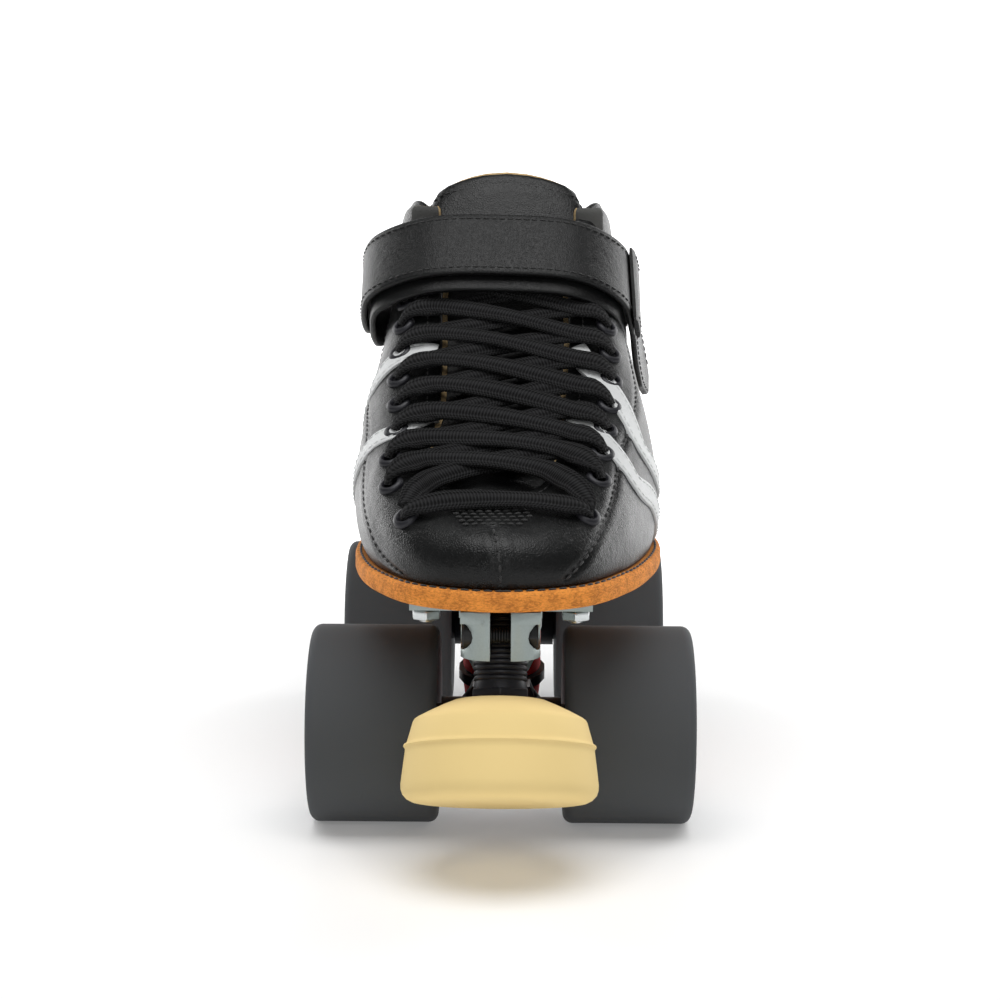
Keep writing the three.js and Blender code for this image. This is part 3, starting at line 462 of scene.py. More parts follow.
@dataclass(frozen=True)
class Urethane(Finish):
    """Cast urethane: clouded, faintly speckled, scuffed where it rubs, turned lines along X."""

    dark: Colour
    light: Colour
    scuff: Colour
    lines: float = 0.0
    rough: float = 0.5
    scatter: float = 0.0
    depth: float = 0.05
    coat: float = 0.0

    def pattern(self, shader: Shader) -> None:
        """Clouds, specks, scuffs and the lathe's lines.

        Args:
            shader: the finish's shader.
        """
        at = shader.place()
        cloud = shader.noise(at, 45, 4)
        specks = shader.step(shader.noise(at, 1700, 2), 0.6, 0.72)
        scuffs = shader.step(shader.noise(shader.stretched(at, (0.35, 1, 1)), 210, 6, 0.7), 0.6, 0.74)
        turned = (shader.axes(at)[0] * (2000 * math.pi / 0.8)).sine() * 0.5 + 0.5
        body = shader.mix(cloud, self.dark, self.light)
        colour = shader.mix(scuffs * 0.3 + specks * 0.14, body, self.scuff)
        height = turned * self.lines + specks * 0.25 + shader.noise(at, 520, 4) * 0.5 - scuffs * 0.3
        shader.finish(
            colour, self.rough + 0.12 * cloud + 0.1 * scuffs, height, self.depth,
            Subsurface_Weight=self.scatter, Subsurface_Scale=0.004,
            Coat_Weight=self.coat, Coat_Roughness=0.1, Specular_IOR_Level=0.42,
        )


@dataclass(frozen=True)
class Metal(Finish):
    """Worked metal: tumbled or brushed grain, with clouded polish and dull deposits."""

    dark: Colour
    light: Colour
    dirt: Colour = (0.06, 0.055, 0.05)
    metallic: float = 1.0
    rough: float = 0.28
    grain: float = 700
    depth: float = 0.02
    stretch: tuple[float, float, float] = (1, 1, 1)

    def pattern(self, shader: Shader) -> None:
        """A fine grain, clouded polish and dirt in patches.

        Args:
            shader: the finish's shader.
        """
        at = shader.place()
        cloud = shader.noise(at, 60, 4, 0.6)
        grain = shader.noise(shader.stretched(at, self.stretch), self.grain, 4, 0.65)
        grime = shader.step(shader.noise(at, 130, 6, 0.7), 0.58, 0.76)
        polish = shader.mix(cloud * 0.6 + grain * 0.4, self.dark, self.light)
        colour = shader.mix(grime * 0.35, polish, self.dirt)
        rough = self.rough + 0.14 * cloud + 0.22 * grime
        shader.finish(colour, rough, grain - grime * 0.3, self.depth, Metallic=self.metallic)


@dataclass(frozen=True)
class Moulded(Finish):
    """Moulded nylon or rubber: an even spark-eroded texture and paler handling marks."""

    dark: Colour
    light: Colour
    rough: float = 0.42

    def pattern(self, shader: Shader) -> None:
        """Fine texture, flow clouds and marks.

        Args:
            shader: the finish's shader.
        """
        at = shader.place()
        cloud = shader.noise(at, 90, 4)
        texture = shader.noise(at, 1900, 3)
        marks = shader.step(shader.noise(at, 260, 6, 0.7), 0.62, 0.75)
        colour = shader.mix(cloud * 0.7 + marks * 0.5, self.dark, self.light)
        shader.finish(colour, self.rough + 0.15 * cloud, texture - marks * 0.3, 0.03)


BLACK_LEATHER = GrainedLeather("boot_leather")
STRAP_LEATHER = GrainedLeather("strap_leather", dark=(0.002, 0.002, 0.0022), grain=0.6, rough=0.32, coat=0.0)
GREY_LEATHER = GrainedLeather("tab_leather", dark=(0.05, 0.05, 0.048), light=(0.11, 0.11, 0.105), rough=0.6)
WHITE_LEATHER = GrainedLeather(
    "stripe_leather", dark=(0.5, 0.51, 0.51), light=(0.64, 0.65, 0.65), rubbed=(0.42, 0.41, 0.39), rough=0.45,
)
RAW_EDGE = RawLeather("sole_leather")
PALE_EDGE = RawLeather("cut_edge", dark=(0.33, 0.22, 0.1), light=(0.62, 0.46, 0.25), stain=(0.2, 0.14, 0.08))
HEEL_STACK = StackedLeather("heel_leather", dark=(0.22, 0.1, 0.035), light=(0.46, 0.22, 0.075))
LINING = Cloth("lining_cloth")
PILE = Cloth("fastener_pile", dark=(0.004, 0.004, 0.004), light=(0.022, 0.022, 0.022), pitch=1.6)
LACE_BRAID = Braid("lace_braid")
THREAD = Thread("black_thread")
TYRE = Urethane(
    "tyre_urethane", dark=(0.028, 0.03, 0.032), light=(0.042, 0.044, 0.046), scuff=(0.09, 0.09, 0.088),
    lines=0.55, rough=0.5, depth=0.05,
)
PAD = Urethane(
    "pad_urethane", dark=(0.70, 0.49, 0.19), light=(0.84, 0.64, 0.29), scuff=(0.62, 0.5, 0.3),
    rough=0.42, scatter=0.12, depth=0.05,
)
CUSHION = Urethane(
    "cushion_urethane", dark=(0.42, 0.002, 0.008), light=(0.62, 0.008, 0.014), scuff=(0.3, 0.02, 0.02),
    rough=0.24, scatter=0.2, coat=0.4,
)
CAST_METAL = Metal(
    "plate_metal", dark=(0.22, 0.26, 0.25), light=(0.36, 0.4, 0.39), rough=0.34, grain=1500, depth=0.04,
)
STEEL = Metal("zinc_steel", dark=(0.5, 0.52, 0.52), light=(0.72, 0.75, 0.75), rough=0.22)
TURNED_STEEL = Metal("turned_steel", dark=(0.4, 0.41, 0.42), light=(0.66, 0.68, 0.7), stretch=(4, 0.6, 0.6))
DARK_STEEL = Metal("dark_steel", dark=(0.02, 0.02, 0.02), light=(0.05, 0.05, 0.05), rough=0.4)
BLACK_METAL = Metal(
    "black_metal", dark=(0.008, 0.008, 0.009), light=(0.02, 0.02, 0.022), metallic=0.5, rough=0.3,
)
LOOP_METAL = Metal("loop_metal", dark=(0.62, 0.57, 0.43), light=(0.8, 0.77, 0.64), rough=0.26)
HUB_NYLON = Moulded("hub_nylon", dark=(0.004, 0.03, 0.038), light=(0.012, 0.065, 0.08))
BLACK_NYLON = Moulded("black_nylon", dark=(0.006, 0.006, 0.007), light=(0.02, 0.02, 0.021), rough=0.5)


# ---- Shaping ---------------------------------------------------------------------------------


class Curve:
    """A smooth centripetal curve through points."""

    def __init__(self, points: Iterable[Point], closed: bool = False) -> None:
        """Keeps the points, and the distances along the curve between fine steps.

        Args:
            points: what it goes through.
            closed: whether it runs round to its start.
        """
        self.points = np.array([tuple(p) for p in points], float)
        self.closed = closed
        self.shares = np.linspace(0, 1, 600)
        gaps = np.linalg.norm(np.diff(self.at(self.shares), axis=0), axis=1)
        self.distances = np.concatenate([[0], np.cumsum(gaps)])
        self.length = float(self.distances[-1])

    def at(self, share: np.ndarray) -> np.ndarray:
        """The points at shares from 0 to 1 of the way, counted by the curve's own points.

        Args:
            share: the shares.

        Returns:
            The points.
        """
        known, count = self.points, len(self.points)
        place = np.asarray(share, float) * (count if self.closed else count - 1)
        if self.closed:
            step = np.floor(place).astype(int)
            picks = [known[(step + k) % count] for k in (-1, 0, 1, 2)]
        else:
            step = np.clip(np.floor(place).astype(int), 0, count - 2)
            padded = np.vstack([2 * known[0] - known[1], known, 2 * known[-1] - known[-2]])
            picks = [padded[step + k] for k in (0, 1, 2, 3)]
        t = (place - step)[..., None]
        p0, p1, p2, p3 = picks
        pairs = ((p0, p1), (p1, p2), (p2, p3))
        gap = [np.sqrt(np.linalg.norm(b - a, axis=-1, keepdims=True)) for a, b in pairs]
        middle = np.maximum(gap[1], 1e-4)
        before, after = (np.maximum(g, 1e-4) for g in (gap[0], gap[2]))
        m1 = ((p1 - p0) / before - (p2 - p0) / (before + middle) + (p2 - p1) / middle) * middle
        m2 = ((p2 - p1) / middle - (p3 - p1) / (middle + after) + (p3 - p2) / after) * middle
        return p1 + m1 * t + (3 * (p2 - p1) - 2 * m1 - m2) * t**2 + (2 * (p1 - p2) + m1 + m2) * t**3

    def along(self, distance: np.ndarray) -> np.ndarray:
        """The points at distances from the curve's start."""
        return self.at(np.interp(distance, self.distances, self.shares))

    def heading(self, distance: np.ndarray) -> np.ndarray:
        """The unit tangents at distances from the curve's start.

        Args:
            distance: the distances.

        Returns:
            The tangents.
        """
        low = np.clip(distance - 0.4, 0, self.length)
        high = np.clip(distance + 0.4, 0, self.length)
        return unit(self.along(high) - self.along(low))


def unit(vectors: np.ndarray) -> np.ndarray:
    """Vectors given unit length."""
    return vectors / np.maximum(np.linalg.norm(vectors, axis=-1, keepdims=True), 1e-9)


def square_to(direction: np.ndarray, other: np.ndarray) -> np.ndarray:
    """A direction made square to others, with unit length."""
    direction = np.broadcast_to(np.asarray(direction, float), other.shape)
    return unit(direction - np.sum(direction * other, axis=-1, keepdims=True) * other)


def smooth(value: np.ndarray, low: float, high: float) -> np.ndarray:
    """A smooth 0 to 1 step between two limits."""
    t = np.clip((np.asarray(value, float) - low) / (high - low), 0, 1)
    return t * t * (3 - 2 * t)


def stood(point: Point, axis: Point) -> Matrix:
    """The matrix that stands a shape's +Z along an axis, at a point."""
    turn = Vector((0, 0, 1)).rotation_difference(Vector(axis).normalized())
    return Matrix.Translation(Vector(point)) @ turn.to_matrix().to_4x4()


def loft(
    columns: int, rows: int, place: Place, zone: Zone | None = None, reach: tuple[float, float] = (1, 1),
) -> Shape:
    """A grid of faces laid onto a shape, its meeting edges welded and its open ends filled.

    Args:
        columns: faces along the grid.
        rows: faces across it.
        place: gives points in millimetres for shares along and across.
        zone: gives a face's finish number from its shares along and across.
        reach: the UV map's size in millimetres, along and across.

    Returns:
        The closed shape.
    """
    bm = bmesh.new()
    bmesh.ops.create_grid(bm, x_segments=columns, y_segments=rows, size=0.5)
    shares = np.array([v.co[:2] for v in bm.verts]) + 0.5
    spots = place(shares[:, 0], shares[:, 1])
    layer = bm.loops.layers.uv.new("UVMap")
    bm.verts.index_update()
    for face in bm.faces:
        corners = [shares[loop.vert.index] for loop in face.loops]
        for loop, corner in zip(face.loops, corners):
            loop[layer].uv = (corner[0] * reach[0], corner[1] * reach[1])
        if zone:
            face.material_index = zone(*np.mean(corners, axis=0))
    for vert, spot in zip(bm.verts, spots):
        vert.co = spot
    return closed(bm)


def closed(bm: Shape) -> Shape:
    """The shape with its doubles merged, its holes filled and its faces outwards.

    Args:
        bm: the shape, which is changed.

    Returns:
        The same shape.
    """
    bmesh.ops.remove_doubles(bm, verts=bm.verts[:], dist=1e-3)
    rims = [edge for edge in bm.edges if edge.is_boundary]
    if rims:
        bmesh.ops.holes_fill(bm, edges=rims, sides=0)
    bmesh.ops.recalc_face_normals(bm, faces=bm.faces[:])
    return bm


def oval(count: int, width: float, thickness: float, squareness: float = 0.4) -> np.ndarray:
    """The outline of a flat section: a rounded oblong, as (across, up) pairs.

    Args:
        count: the number of corners.
        width: its width.
        thickness: its height.
        squareness: 1 for an ellipse, and less for fuller corners.

    Returns:
        The pairs, in millimetres.
    """
    turn = np.linspace(0, 2 * math.pi, count, endpoint=False)
    across, up = np.cos(turn), np.sin(turn)
    shape = [np.sign(c) * np.abs(c) ** squareness for c in (across, up)]
    return np.stack([shape[0] * width / 2, shape[1] * thickness / 2], axis=1)


def sweep(
    points: np.ndarray, across: np.ndarray, up: np.ndarray, outline: np.ndarray,
    wide: np.ndarray | float = 1.0, tall: np.ndarray | float = 1.0,
    zone: Zone | None = None,
) -> Shape:
    """An outline carried along points.

    Args:
        points: the middle line, in millimetres.
        across: the unit direction of the section's width at each point.
        up: the unit direction of its height at each point.
        outline: the section's (across, up) pairs.
        wide: a factor on the width at each point.
        tall: a factor on the height at each point.
        zone: gives a face's finish number from its shares along and round.

    Returns:
        The closed shape.
    """
    count, sides = len(points), len(outline)
    wide = np.broadcast_to(wide, (count,))
    tall = np.broadcast_to(tall, (count,))

    def place(a: np.ndarray, b: np.ndarray) -> np.ndarray:
        """The swept point at shares along and round.

        Args:
            a: shares along.
            b: shares round.

        Returns:
            The points.
        """
        i = np.rint(a * (count - 1)).astype(int)
        j = np.rint(b * sides).astype(int) % sides
        side = outline[j, 0] * wide[i]
        rise = outline[j, 1] * tall[i]
        return points[i] + across[i] * side[:, None] + up[i] * rise[:, None]

    run = float(np.linalg.norm(np.diff(points, axis=0), axis=1).sum())
    girth = float(np.linalg.norm(np.diff(outline, axis=0), axis=1).sum())
    return loft(count - 1, sides, place, zone, (run, girth))


def spun(profile: Profile, steps: int, point: Point, axis: Point, zone: Zone | None = None) -> Shape:
    """A profile spun round an axis into a closed body.

    Args:
        profile: (radius, distance along the axis) pairs; its ends are on the axis or meet.
        steps: faces round the axis.
        point: where distance 0 is, in millimetres.
        axis: the axis, as a direction.
        zone: gives a face's finish number from its radius and distance.

    Returns:
        The closed shape.
    """
    bm = bmesh.new()
    verts = [bm.verts.new((radius, 0, distance)) for radius, distance in profile]
    pairs = list(zip(verts, verts[1:]))
    if profile[0][0] > 0:
        pairs.append((verts[-1], verts[0]))
    for pair in pairs:
        bm.edges.new(pair)
    bmesh.ops.spin(
        bm, geom=bm.verts[:] + bm.edges[:], cent=(0, 0, 0), axis=(0, 0, 1),
        angle=2 * math.pi, steps=steps, use_merge=True,
    )
    if zone:
        for face in bm.faces:
            spot = face.calc_center_median()
            face.material_index = zone(math.hypot(spot.x, spot.y), spot.z)
    closed(bm)
    bmesh.ops.transform(bm, matrix=stood(point, axis), verts=bm.verts[:])
    return bm


def threaded(radius: float, low: float, high: float, pitch: float) -> list[tuple[float, float]]:
    """The profile of a threaded length: a groove every pitch.

    Args:
        radius: the thread's outer radius.
        low: where it starts.
        high: where it ends.
        pitch: the distance between grooves.

    Returns:
        (radius, distance) pairs.
    """
    turns = int((high - low) / pitch)
    made = []
    for i in range(turns):
        start = low + i * pitch
        made += [(radius, start), (radius, start + pitch * 0.35), (radius - pitch * 0.3, start + pitch * 0.65)]
    return made + [(radius, high)]


def broken(bm: Shape, edges: Sequence[bmesh.types.BMEdge], width: float, segments: int = 2) -> None:
    """Rounds the shape's edges off by a width in millimetres.

    Args:
        bm: the shape, which is changed.
        edges: the edges.
        width: how far it reaches.
        segments: how many faces make the round.
    """
    bmesh.ops.bevel(
        bm, geom=edges, offset=width, offset_type="OFFSET", segments=segments, profile=0.5,
        affect="EDGES", material=-1, clamp_overlap=True,
    )


def hexagon(radius: float, low: float, high: float, point: Point, axis: Point) -> Shape:
    """A hexagon nut or flange with its edges broken.

    Args:
        radius: from the middle to a corner.
        low: its near face along the axis.
        high: its far face.
        point: where distance 0 is.
        axis: the axis, as a direction.

    Returns:
        The closed shape.
    """
    bm = bmesh.new()
    bmesh.ops.create_cone(
        bm, cap_ends=True, cap_tris=False, segments=6, radius1=radius, radius2=radius, depth=high - low,
    )
    bmesh.ops.translate(bm, vec=(0, 0, (low + high) / 2), verts=bm.verts[:])
    broken(bm, bm.edges[:], 0.5, 3)
    bmesh.ops.transform(bm, matrix=stood(point, axis), verts=bm.verts[:])
    return bm


def prism(outline: Profile, low: float, high: float) -> Shape:
    """An outline in plan made solid between two heights.

    Args:
        outline: (x, y) pairs.
        low: its lower face.
        high: its upper face.

    Returns:
        The closed shape.
    """
    bm = bmesh.new()
    base = bm.faces.new([bm.verts.new((x, y, low)) for x, y in outline])
    lifted = bmesh.ops.extrude_face_region(bm, geom=[base])["geom"]
    top = [item for item in lifted if isinstance(item, bmesh.types.BMVert)]
    bmesh.ops.translate(bm, vec=(0, 0, high - low), verts=top)
    bmesh.ops.recalc_face_normals(bm, faces=bm.faces[:])
    return bm


def carved(bm: Shape, cutters: Iterable[Shape]) -> Shape:
    """A shape less what the cutters hold.

    Args:
        bm: the shape, which is used up.
        cutters: what is cut away.

    Returns:
        What is left.
    """
    made = []
    for shape in (bm, joined(cutters)):
        mesh = bpy.data.meshes.new("carving")
        shape.to_mesh(mesh)
        shape.free()
        made.append(bpy.data.objects.new("carving", mesh))
        bpy.context.scene.collection.objects.link(made[-1])
    cut = made[0].modifiers.new("cut", "BOOLEAN")
    cut.object, cut.operation, cut.solver = made[1], "DIFFERENCE", "EXACT"
    left = bmesh.new()
    left.from_object(made[0], bpy.context.evaluated_depsgraph_get())
    for item in made:
        mesh = item.data
        bpy.data.objects.remove(item)
        bpy.data.meshes.remove(mesh)
    return left


def softened(node: str, width: float, cutters: Sequence[Shape] = ()) -> Shape:
    """A copy of a frame node with its sharp edges rounded.

    Args:
        node: the frame node's name.
        width: how far the rounding reaches from an edge, in millimetres.
        cutters: what is cut away first.

    Returns:
        The closed shape, in millimetres.
    """
    bm = bmesh.new()
    bm.from_mesh(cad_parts[node].data)
    bmesh.ops.scale(bm, vec=(1 / MM,) * 3, verts=bm.verts[:])
    bmesh.ops.remove_doubles(bm, verts=bm.verts[:], dist=2e-3)
    if cutters:
        bm = carved(bm, cutters)
    bmesh.ops.dissolve_limit(
        bm, angle_limit=math.radians(1.5), verts=bm.verts[:], edges=bm.edges[:], use_dissolve_boundaries=False,
    )
    sharp = [e for e in bm.edges if e.is_manifold and e.calc_face_angle(0) > SHARP_BEND]
    broken(bm, sharp, width)
    return bm


def joined(parts: Iterable[Shape]) -> Shape:
    """Several shapes as one.

    Args:
        parts: the shapes, which are used up.

    Returns:
        One shape.
    """
    whole = bmesh.new()
    for part in parts:
        mesh = bpy.data.meshes.new("part")
        part.to_mesh(mesh)
        part.free()
        whole.from_mesh(mesh)
        bpy.data.meshes.remove(mesh)
    return whole


def row_at(distance: float, run: np.ndarray, rows: np.ndarray) -> np.ndarray:
    """The row that lies at a distance, between rows known at the distances in run."""
    return np.array([np.interp(distance, run, rows[:, k]) for k in range(3)])


@dataclass(frozen=True)
class Seam:
    """A sewn line: its points and the surface's normals there."""

    points: np.ndarray
    normals: np.ndarray

    def stitches(self, pitch: float = 3.0, length: float = 2.3, thick: float = 0.6) -> Shape:
        """The line's stitches, each a small rounded grain.

        Args:
            pitch: the distance from a stitch to the next, in millimetres.
            length: a stitch's length.
            thick: the thread's thickness.

        Returns:
            The stitches as one shape.
        """
        bm = bmesh.new()
        gaps = np.linalg.norm(np.diff(self.points, axis=0), axis=1)
        run = np.concatenate([[0], np.cumsum(gaps)])
        for distance in np.arange(pitch / 2, run[-1], pitch):
            ends = [row_at(distance + way, run, self.points) for way in (-0.5, 0.5)]
            normal = unit(row_at(distance, run, self.normals))
            ahead = unit(ends[1] - ends[0])
            side = np.cross(normal, ahead)
            middle = (ends[0] + ends[1]) / 2 + normal * thick * 0.12
            columns = [side * thick / 2, normal * thick / 2, ahead * length / 2, middle]
            matrix = Matrix([[*(column[row] for column in columns)] for row in range(3)] + [[0, 0, 0, 1]])
            bmesh.ops.create_uvsphere(bm, u_segments=6, v_segments=4, radius=1, matrix=matrix)
        bmesh.ops.recalc_face_normals(bm, faces=bm.faces[:])
        return bm


def make_piece(
    name: str, bm: Shape, finishes: Sequence[Finish], slot: Slot,
    stands_for: Sequence[str] = (), sharp: float = 38, body: str | None = Body.BOOT.value,
) -> bpy.types.Object:
    """A finished piece from a shape in millimetres.

    Args:
        name: the piece's name.
        bm: the shape, which is used up.
        finishes: the finishes that its faces' numbers pick from.
        slot: not used.
        stands_for: the frame nodes that it replaces.
        sharp: the bend in degrees from which an edge looks sharp.
        body: the body that it rides, or None for a piece that rides none.

    Returns:
        The piece, at the origin.
    """
    bmesh.ops.scale(bm, vec=(MM,) * 3, verts=bm.verts[:])
    mesh = bpy.data.meshes.new(name)
    bm.to_mesh(mesh)
    bm.free()
    for finish in finishes:
        mesh.materials.append(finish.material())
    mesh.shade_smooth()
    mesh.set_sharp_from_angle(angle=math.radians(sharp))
    made = bpy.data.objects.new(name, mesh)
    bpy.context.scene.collection.objects.link(made)
    if stands_for:
        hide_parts(*stands_for)
    if body:
        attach(made, body)
    log.info("%s: %d faces", name, len(mesh.polygons))
    return made


# ---- The boot --------------------------------------------------------------------------------

# Stations round the boot from the toe by the outer side, as in the part's source: the sole's edge
# (x, y), the lower handle's reach and height, the upper handle (x, y, z), the top line (x, y, z).
STATIONS = (
    (0, 0, 4, 15, -4, 14, 20.5, -5, 36, 21.3), (24, 9, 3, 14, 20, 27, 23.5, 10, 41, 23.9),
    (38.5, 32, 3, 16, 33, 48, 33.5, 17.7, 58, 32.7), (46.5, 57, 4, 18, 42, 76, 47.5, 20, 82, 45.5),
    (50.5, 84, 6, 20, 45, 101, 62.5, 21.8, 104.5, 60), (48.5, 115, 4, 24, 45, 124, 79.5, 21.8, 126, 75.5),
    (41, 146, 6, 28, 44, 149, 84, 23.5, 150, 98.5), (35, 176, 6, 32, 42, 170, 80, 32, 165, 106.5),
    (32, 206, 8, 34, 39, 194, 72, 35.5, 188, 100.5), (31.5, 232, 7, 32, 36, 222, 72, 34, 216, 97.5),
    (22, 256, 6, 30, 22, 248, 74.5, 24, 243, 104.5), (0, 268, 8, 28, 1, 252, 76.5, 1, 256, 110),
    (-21, 256, 6, 30, -21, 248, 74.5, -23, 243, 104.5), (-31.5, 232, 7, 32, -35, 222, 72, -33, 216, 97.5),
    (-32, 206, 8, 34, -41, 194, 72, -35, 188, 100.5), (-32.5, 176, 8, 32, -45, 170, 80, -31, 165, 107),
    (-36, 146, 10, 28, -46, 149, 84, -22.5, 150, 98.5), (-43.5, 115, 6, 24, -46, 124, 79.5, -21.4, 126, 75.5),
    (-46.5, 84, 8, 20, -45, 101, 62.5, -20.8, 104.5, 60), (-44.5, 57, 8, 18, -41, 76, 47.5, -20.5, 82, 45.5),
    (-38, 32, 5, 17, -38, 44, 30.5, -23.5, 53, 29.8), (-24, 9, 4, 14, -24, 24, 22.5, -17, 39, 23.1),
)
TOE_TIP_Y = FRONT_AXLE[1] - 66
SOLE_THICKNESS = 6.0
SOLE_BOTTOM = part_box("sole")[0].z / MM
SOLE_TOP = SOLE_BOTTOM + SOLE_THICKNESS
SOLE_LENGTH = 268.0
WELT = 3.0
WALL = 3.0


def placed(points: Iterable[Point]) -> np.ndarray:
    """Points counted from the sole's tip and top, in the skate's frame."""
    return np.array([tuple(p) for p in points], float) + (0, TOE_TIP_Y, SOLE_TOP)


def lift(y: np.ndarray) -> np.ndarray:
    """How far the sole has risen towards the heel at a y of the frame."""
    return 12 * smooth(y - TOE_TIP_Y, 100, 175)


class BootSurface:
    """The upper's outer face: u counts stations from the toe, v runs from the sole to the top line."""

    def __init__(self) -> None:
        """Draws the sole's edge and the four rows that shape the face."""
        table = np.array(STATIONS, float)
        self.edge = Curve(placed((x, y, 0) for x, y in table[:, :2]), closed=True)
        turns = np.arange(len(table)) / len(table)
        feet = self.on_sole(self.beside(turns, np.full(len(table), -WELT)), 0.6)
        swell = self.on_sole(self.beside(turns, table[:, 2] - WELT), table[:, 3])
        self.rows = [
            Curve(row, closed=True) for row in (feet, swell, placed(table[:, 4:7]), placed(table[:, 7:10]))
        ]

    def beside(self, turn: np.ndarray, distance: np.ndarray | float) -> np.ndarray:
        """Points of the sole's edge moved outwards, at shares of the way round.

        Args:
            turn: the shares.
            distance: how far outwards.

        Returns:
            The points.
        """
        ahead = unit(self.edge.at(turn + 1e-4) - self.edge.at(turn - 1e-4))
        outward = unit(np.stack([ahead[..., 1], -ahead[..., 0], np.zeros_like(ahead[..., 0])], axis=-1))
        return self.edge.at(turn) + outward * np.asarray(distance, float)[..., None]

    def on_sole(self, points: np.ndarray, height: np.ndarray | float) -> np.ndarray:
        """Points put at a height above the sole's top where they stand.

        Args:
            points: the points.
            height: how high they are put.

        Returns:
            The points.
        """
        lifted = points.copy()
        lifted[..., 2] = SOLE_TOP + lift(points[..., 1]) + height
        return lifted

    def point(self, u: np.ndarray | float, v: np.ndarray | float) -> np.ndarray:
        """Points of the face.

        Args:
            u: stations round from the toe; a minus is the inner side.
            v: shares up the face.

        Returns:
            The points.
        """
        u, v = np.broadcast_arrays(np.asarray(u, float), np.asarray(v, float))
        a, b, c, d = (row.at(np.mod(u / len(STATIONS), 1)) for row in self.rows)
        v = v[..., None]
        w = 1 - v
        return a * w**3 + b * 3 * w**2 * v + c * 3 * w * v**2 + d * v**3

    def normal(self, u: np.ndarray | float, v: np.ndarray | float) -> np.ndarray:
        """Its outward unit normals.

        Args:
            u: stations round from the toe; a minus is the inner side.
            v: shares up the face.

        Returns:
            The normals.
        """
        u, v = np.broadcast_arrays(np.asarray(u, float), np.asarray(v, float))
        low, high = np.maximum(v - 0.02, 0), np.minimum(v + 0.02, 1)
        ahead = self.point(u + 0.02, v) - self.point(u - 0.02, v)
        rise = self.point(u, high) - self.point(u, low)
        return unit(np.cross(ahead, rise))

    def off(self, u: np.ndarray | float, v: np.ndarray | float, height: np.ndarray | float) -> np.ndarray:
        """Points at a height outside the face."""
        return self.point(u, v) + self.normal(u, v) * np.asarray(height, float)[..., None]

    def seam(self, stops: Profile, height: float = 0.0, step: float = 1.5) -> Seam:
        """A line on the face through (u, v) stops, with a point every step of millimetres.

        Args:
            stops: the (u, v) stops.
            height: how far it is outside the face.
            step: the distance between its points.

        Returns:
            The line.
        """
        path = Curve([(u, v, 0) for u, v in stops]).at(np.linspace(0, 1, 200))
        rough = self.point(path[:, 0], path[:, 1])
        run = np.concatenate([[0], np.cumsum(np.linalg.norm(np.diff(rough, axis=0), axis=1))])
        spots = np.linspace(0, run[-1], max(3, int(run[-1] / step)))
        u, v = (np.interp(spots, run, path[:, k]) for k in (0, 1))
        return Seam(self.off(u, v, height), self.normal(u, v))


SURFACE = BootSurface()

# Sewn lines of the upper, as (u, v) stops; a minus u is the inner side.
TOE_SEAM = ((0, 0.03), (0, 0.3), (0, 0.55))
SIDE_SEAMS = (
    ((-1.4, 0.02), (-2, 0.12), (-2.35, 0.26), (-3.35, 0.5), (-4.45, 0.52), (-5.6, 0.6), (-6.3, 0.76)),
    ((0.8, 0.04), (1.4, 0.32), (2, 0.5), (2.5, 0.6), (3.7, 0.6), (4.5, 0.6), (5.6, 0.66), (6.3, 0.8)),
)
COUNTER_SEAM = ((7.7, 0.02), (8.1, 0.3), (9.4, 0.5), (11, 0.56), (12.6, 0.5), (13.9, 0.3), (14.3, 0.02))
BACK_SEAMS = (((10.55, 0.57), (10.6, 0.78), (10.62, 0.95)), ((11.45, 0.57), (11.4, 0.78), (11.38, 0.95)))
COLLAR_SEAM = tuple((u, 0.79 + 0.02 * math.sin(u)) for u in np.linspace(6.4, 15.6, 14))
EDGE_SEAMS = tuple(
    tuple((side * u, 0.94 if u > 1 else 0.92) for u in np.linspace(0.75, 5.5, 9)) for side in (-1, 1)
)
STRIPES = (
    (
        "outer_upper",
        ((4.05, 0.985), (3.7, 0.9), (3.4, 0.7), (3.25, 0.54), (3.7, 0.34), (4.5, 0.17), (5.1, 0.03)),
    ),
    (
        "outer_lower",
        ((2.9, 0.985), (2.7, 0.92), (2.5, 0.78), (2.5, 0.64), (2.65, 0.44), (3.3, 0.26), (4.2, 0.04)),
    ),
    ("inner_upper", ((-3.95, 0.985), (-4.1, 0.8), (-4.35, 0.54), (-4.85, 0.26), (-5.3, 0.03))),
    ("inner_lower", ((-2.8, 0.985), (-2.7, 0.78), (-3.05, 0.55), (-3.6, 0.33), (-4.1, 0.17), (-4.5, 0.03))),
)
LEATHER_SEAMS = (*SIDE_SEAMS, COUNTER_SEAM, *BACK_SEAMS, COLLAR_SEAM)
THROAT_EDGE = 0.97
EYELETS = (
    (1.3, 0.5), (1.88, 0.65), (2.3, 0.73), (2.72, 0.76), (3.2, 0.77), (3.7, 0.78), (4.2, 0.79), (4.7, 0.8),
    (5.15, 0.81),
)


def ripple(points: np.ndarray, length: float, seed: float = 0.0) -> np.ndarray:
    """A smooth unevenness from -1 to 1 over points, waves about a length in millimetres long.

    Args:
        points: where.
        length: a wave's length.
        seed: what sets one ripple off from another.

    Returns:
        The heights.
    """
    x, y, z = (points[..., k] * 2 * math.pi / length for k in range(3))
    first = np.sin(x + 1.7 * np.sin(y * 0.6 + seed) + seed) * np.cos(z * 0.9 - y * 0.35 + 2 * seed)
    return 0.6 * first + 0.4 * np.sin(y * 1.3 - z * 1.1 + 3 * seed) * np.cos(x * 0.8 + seed)


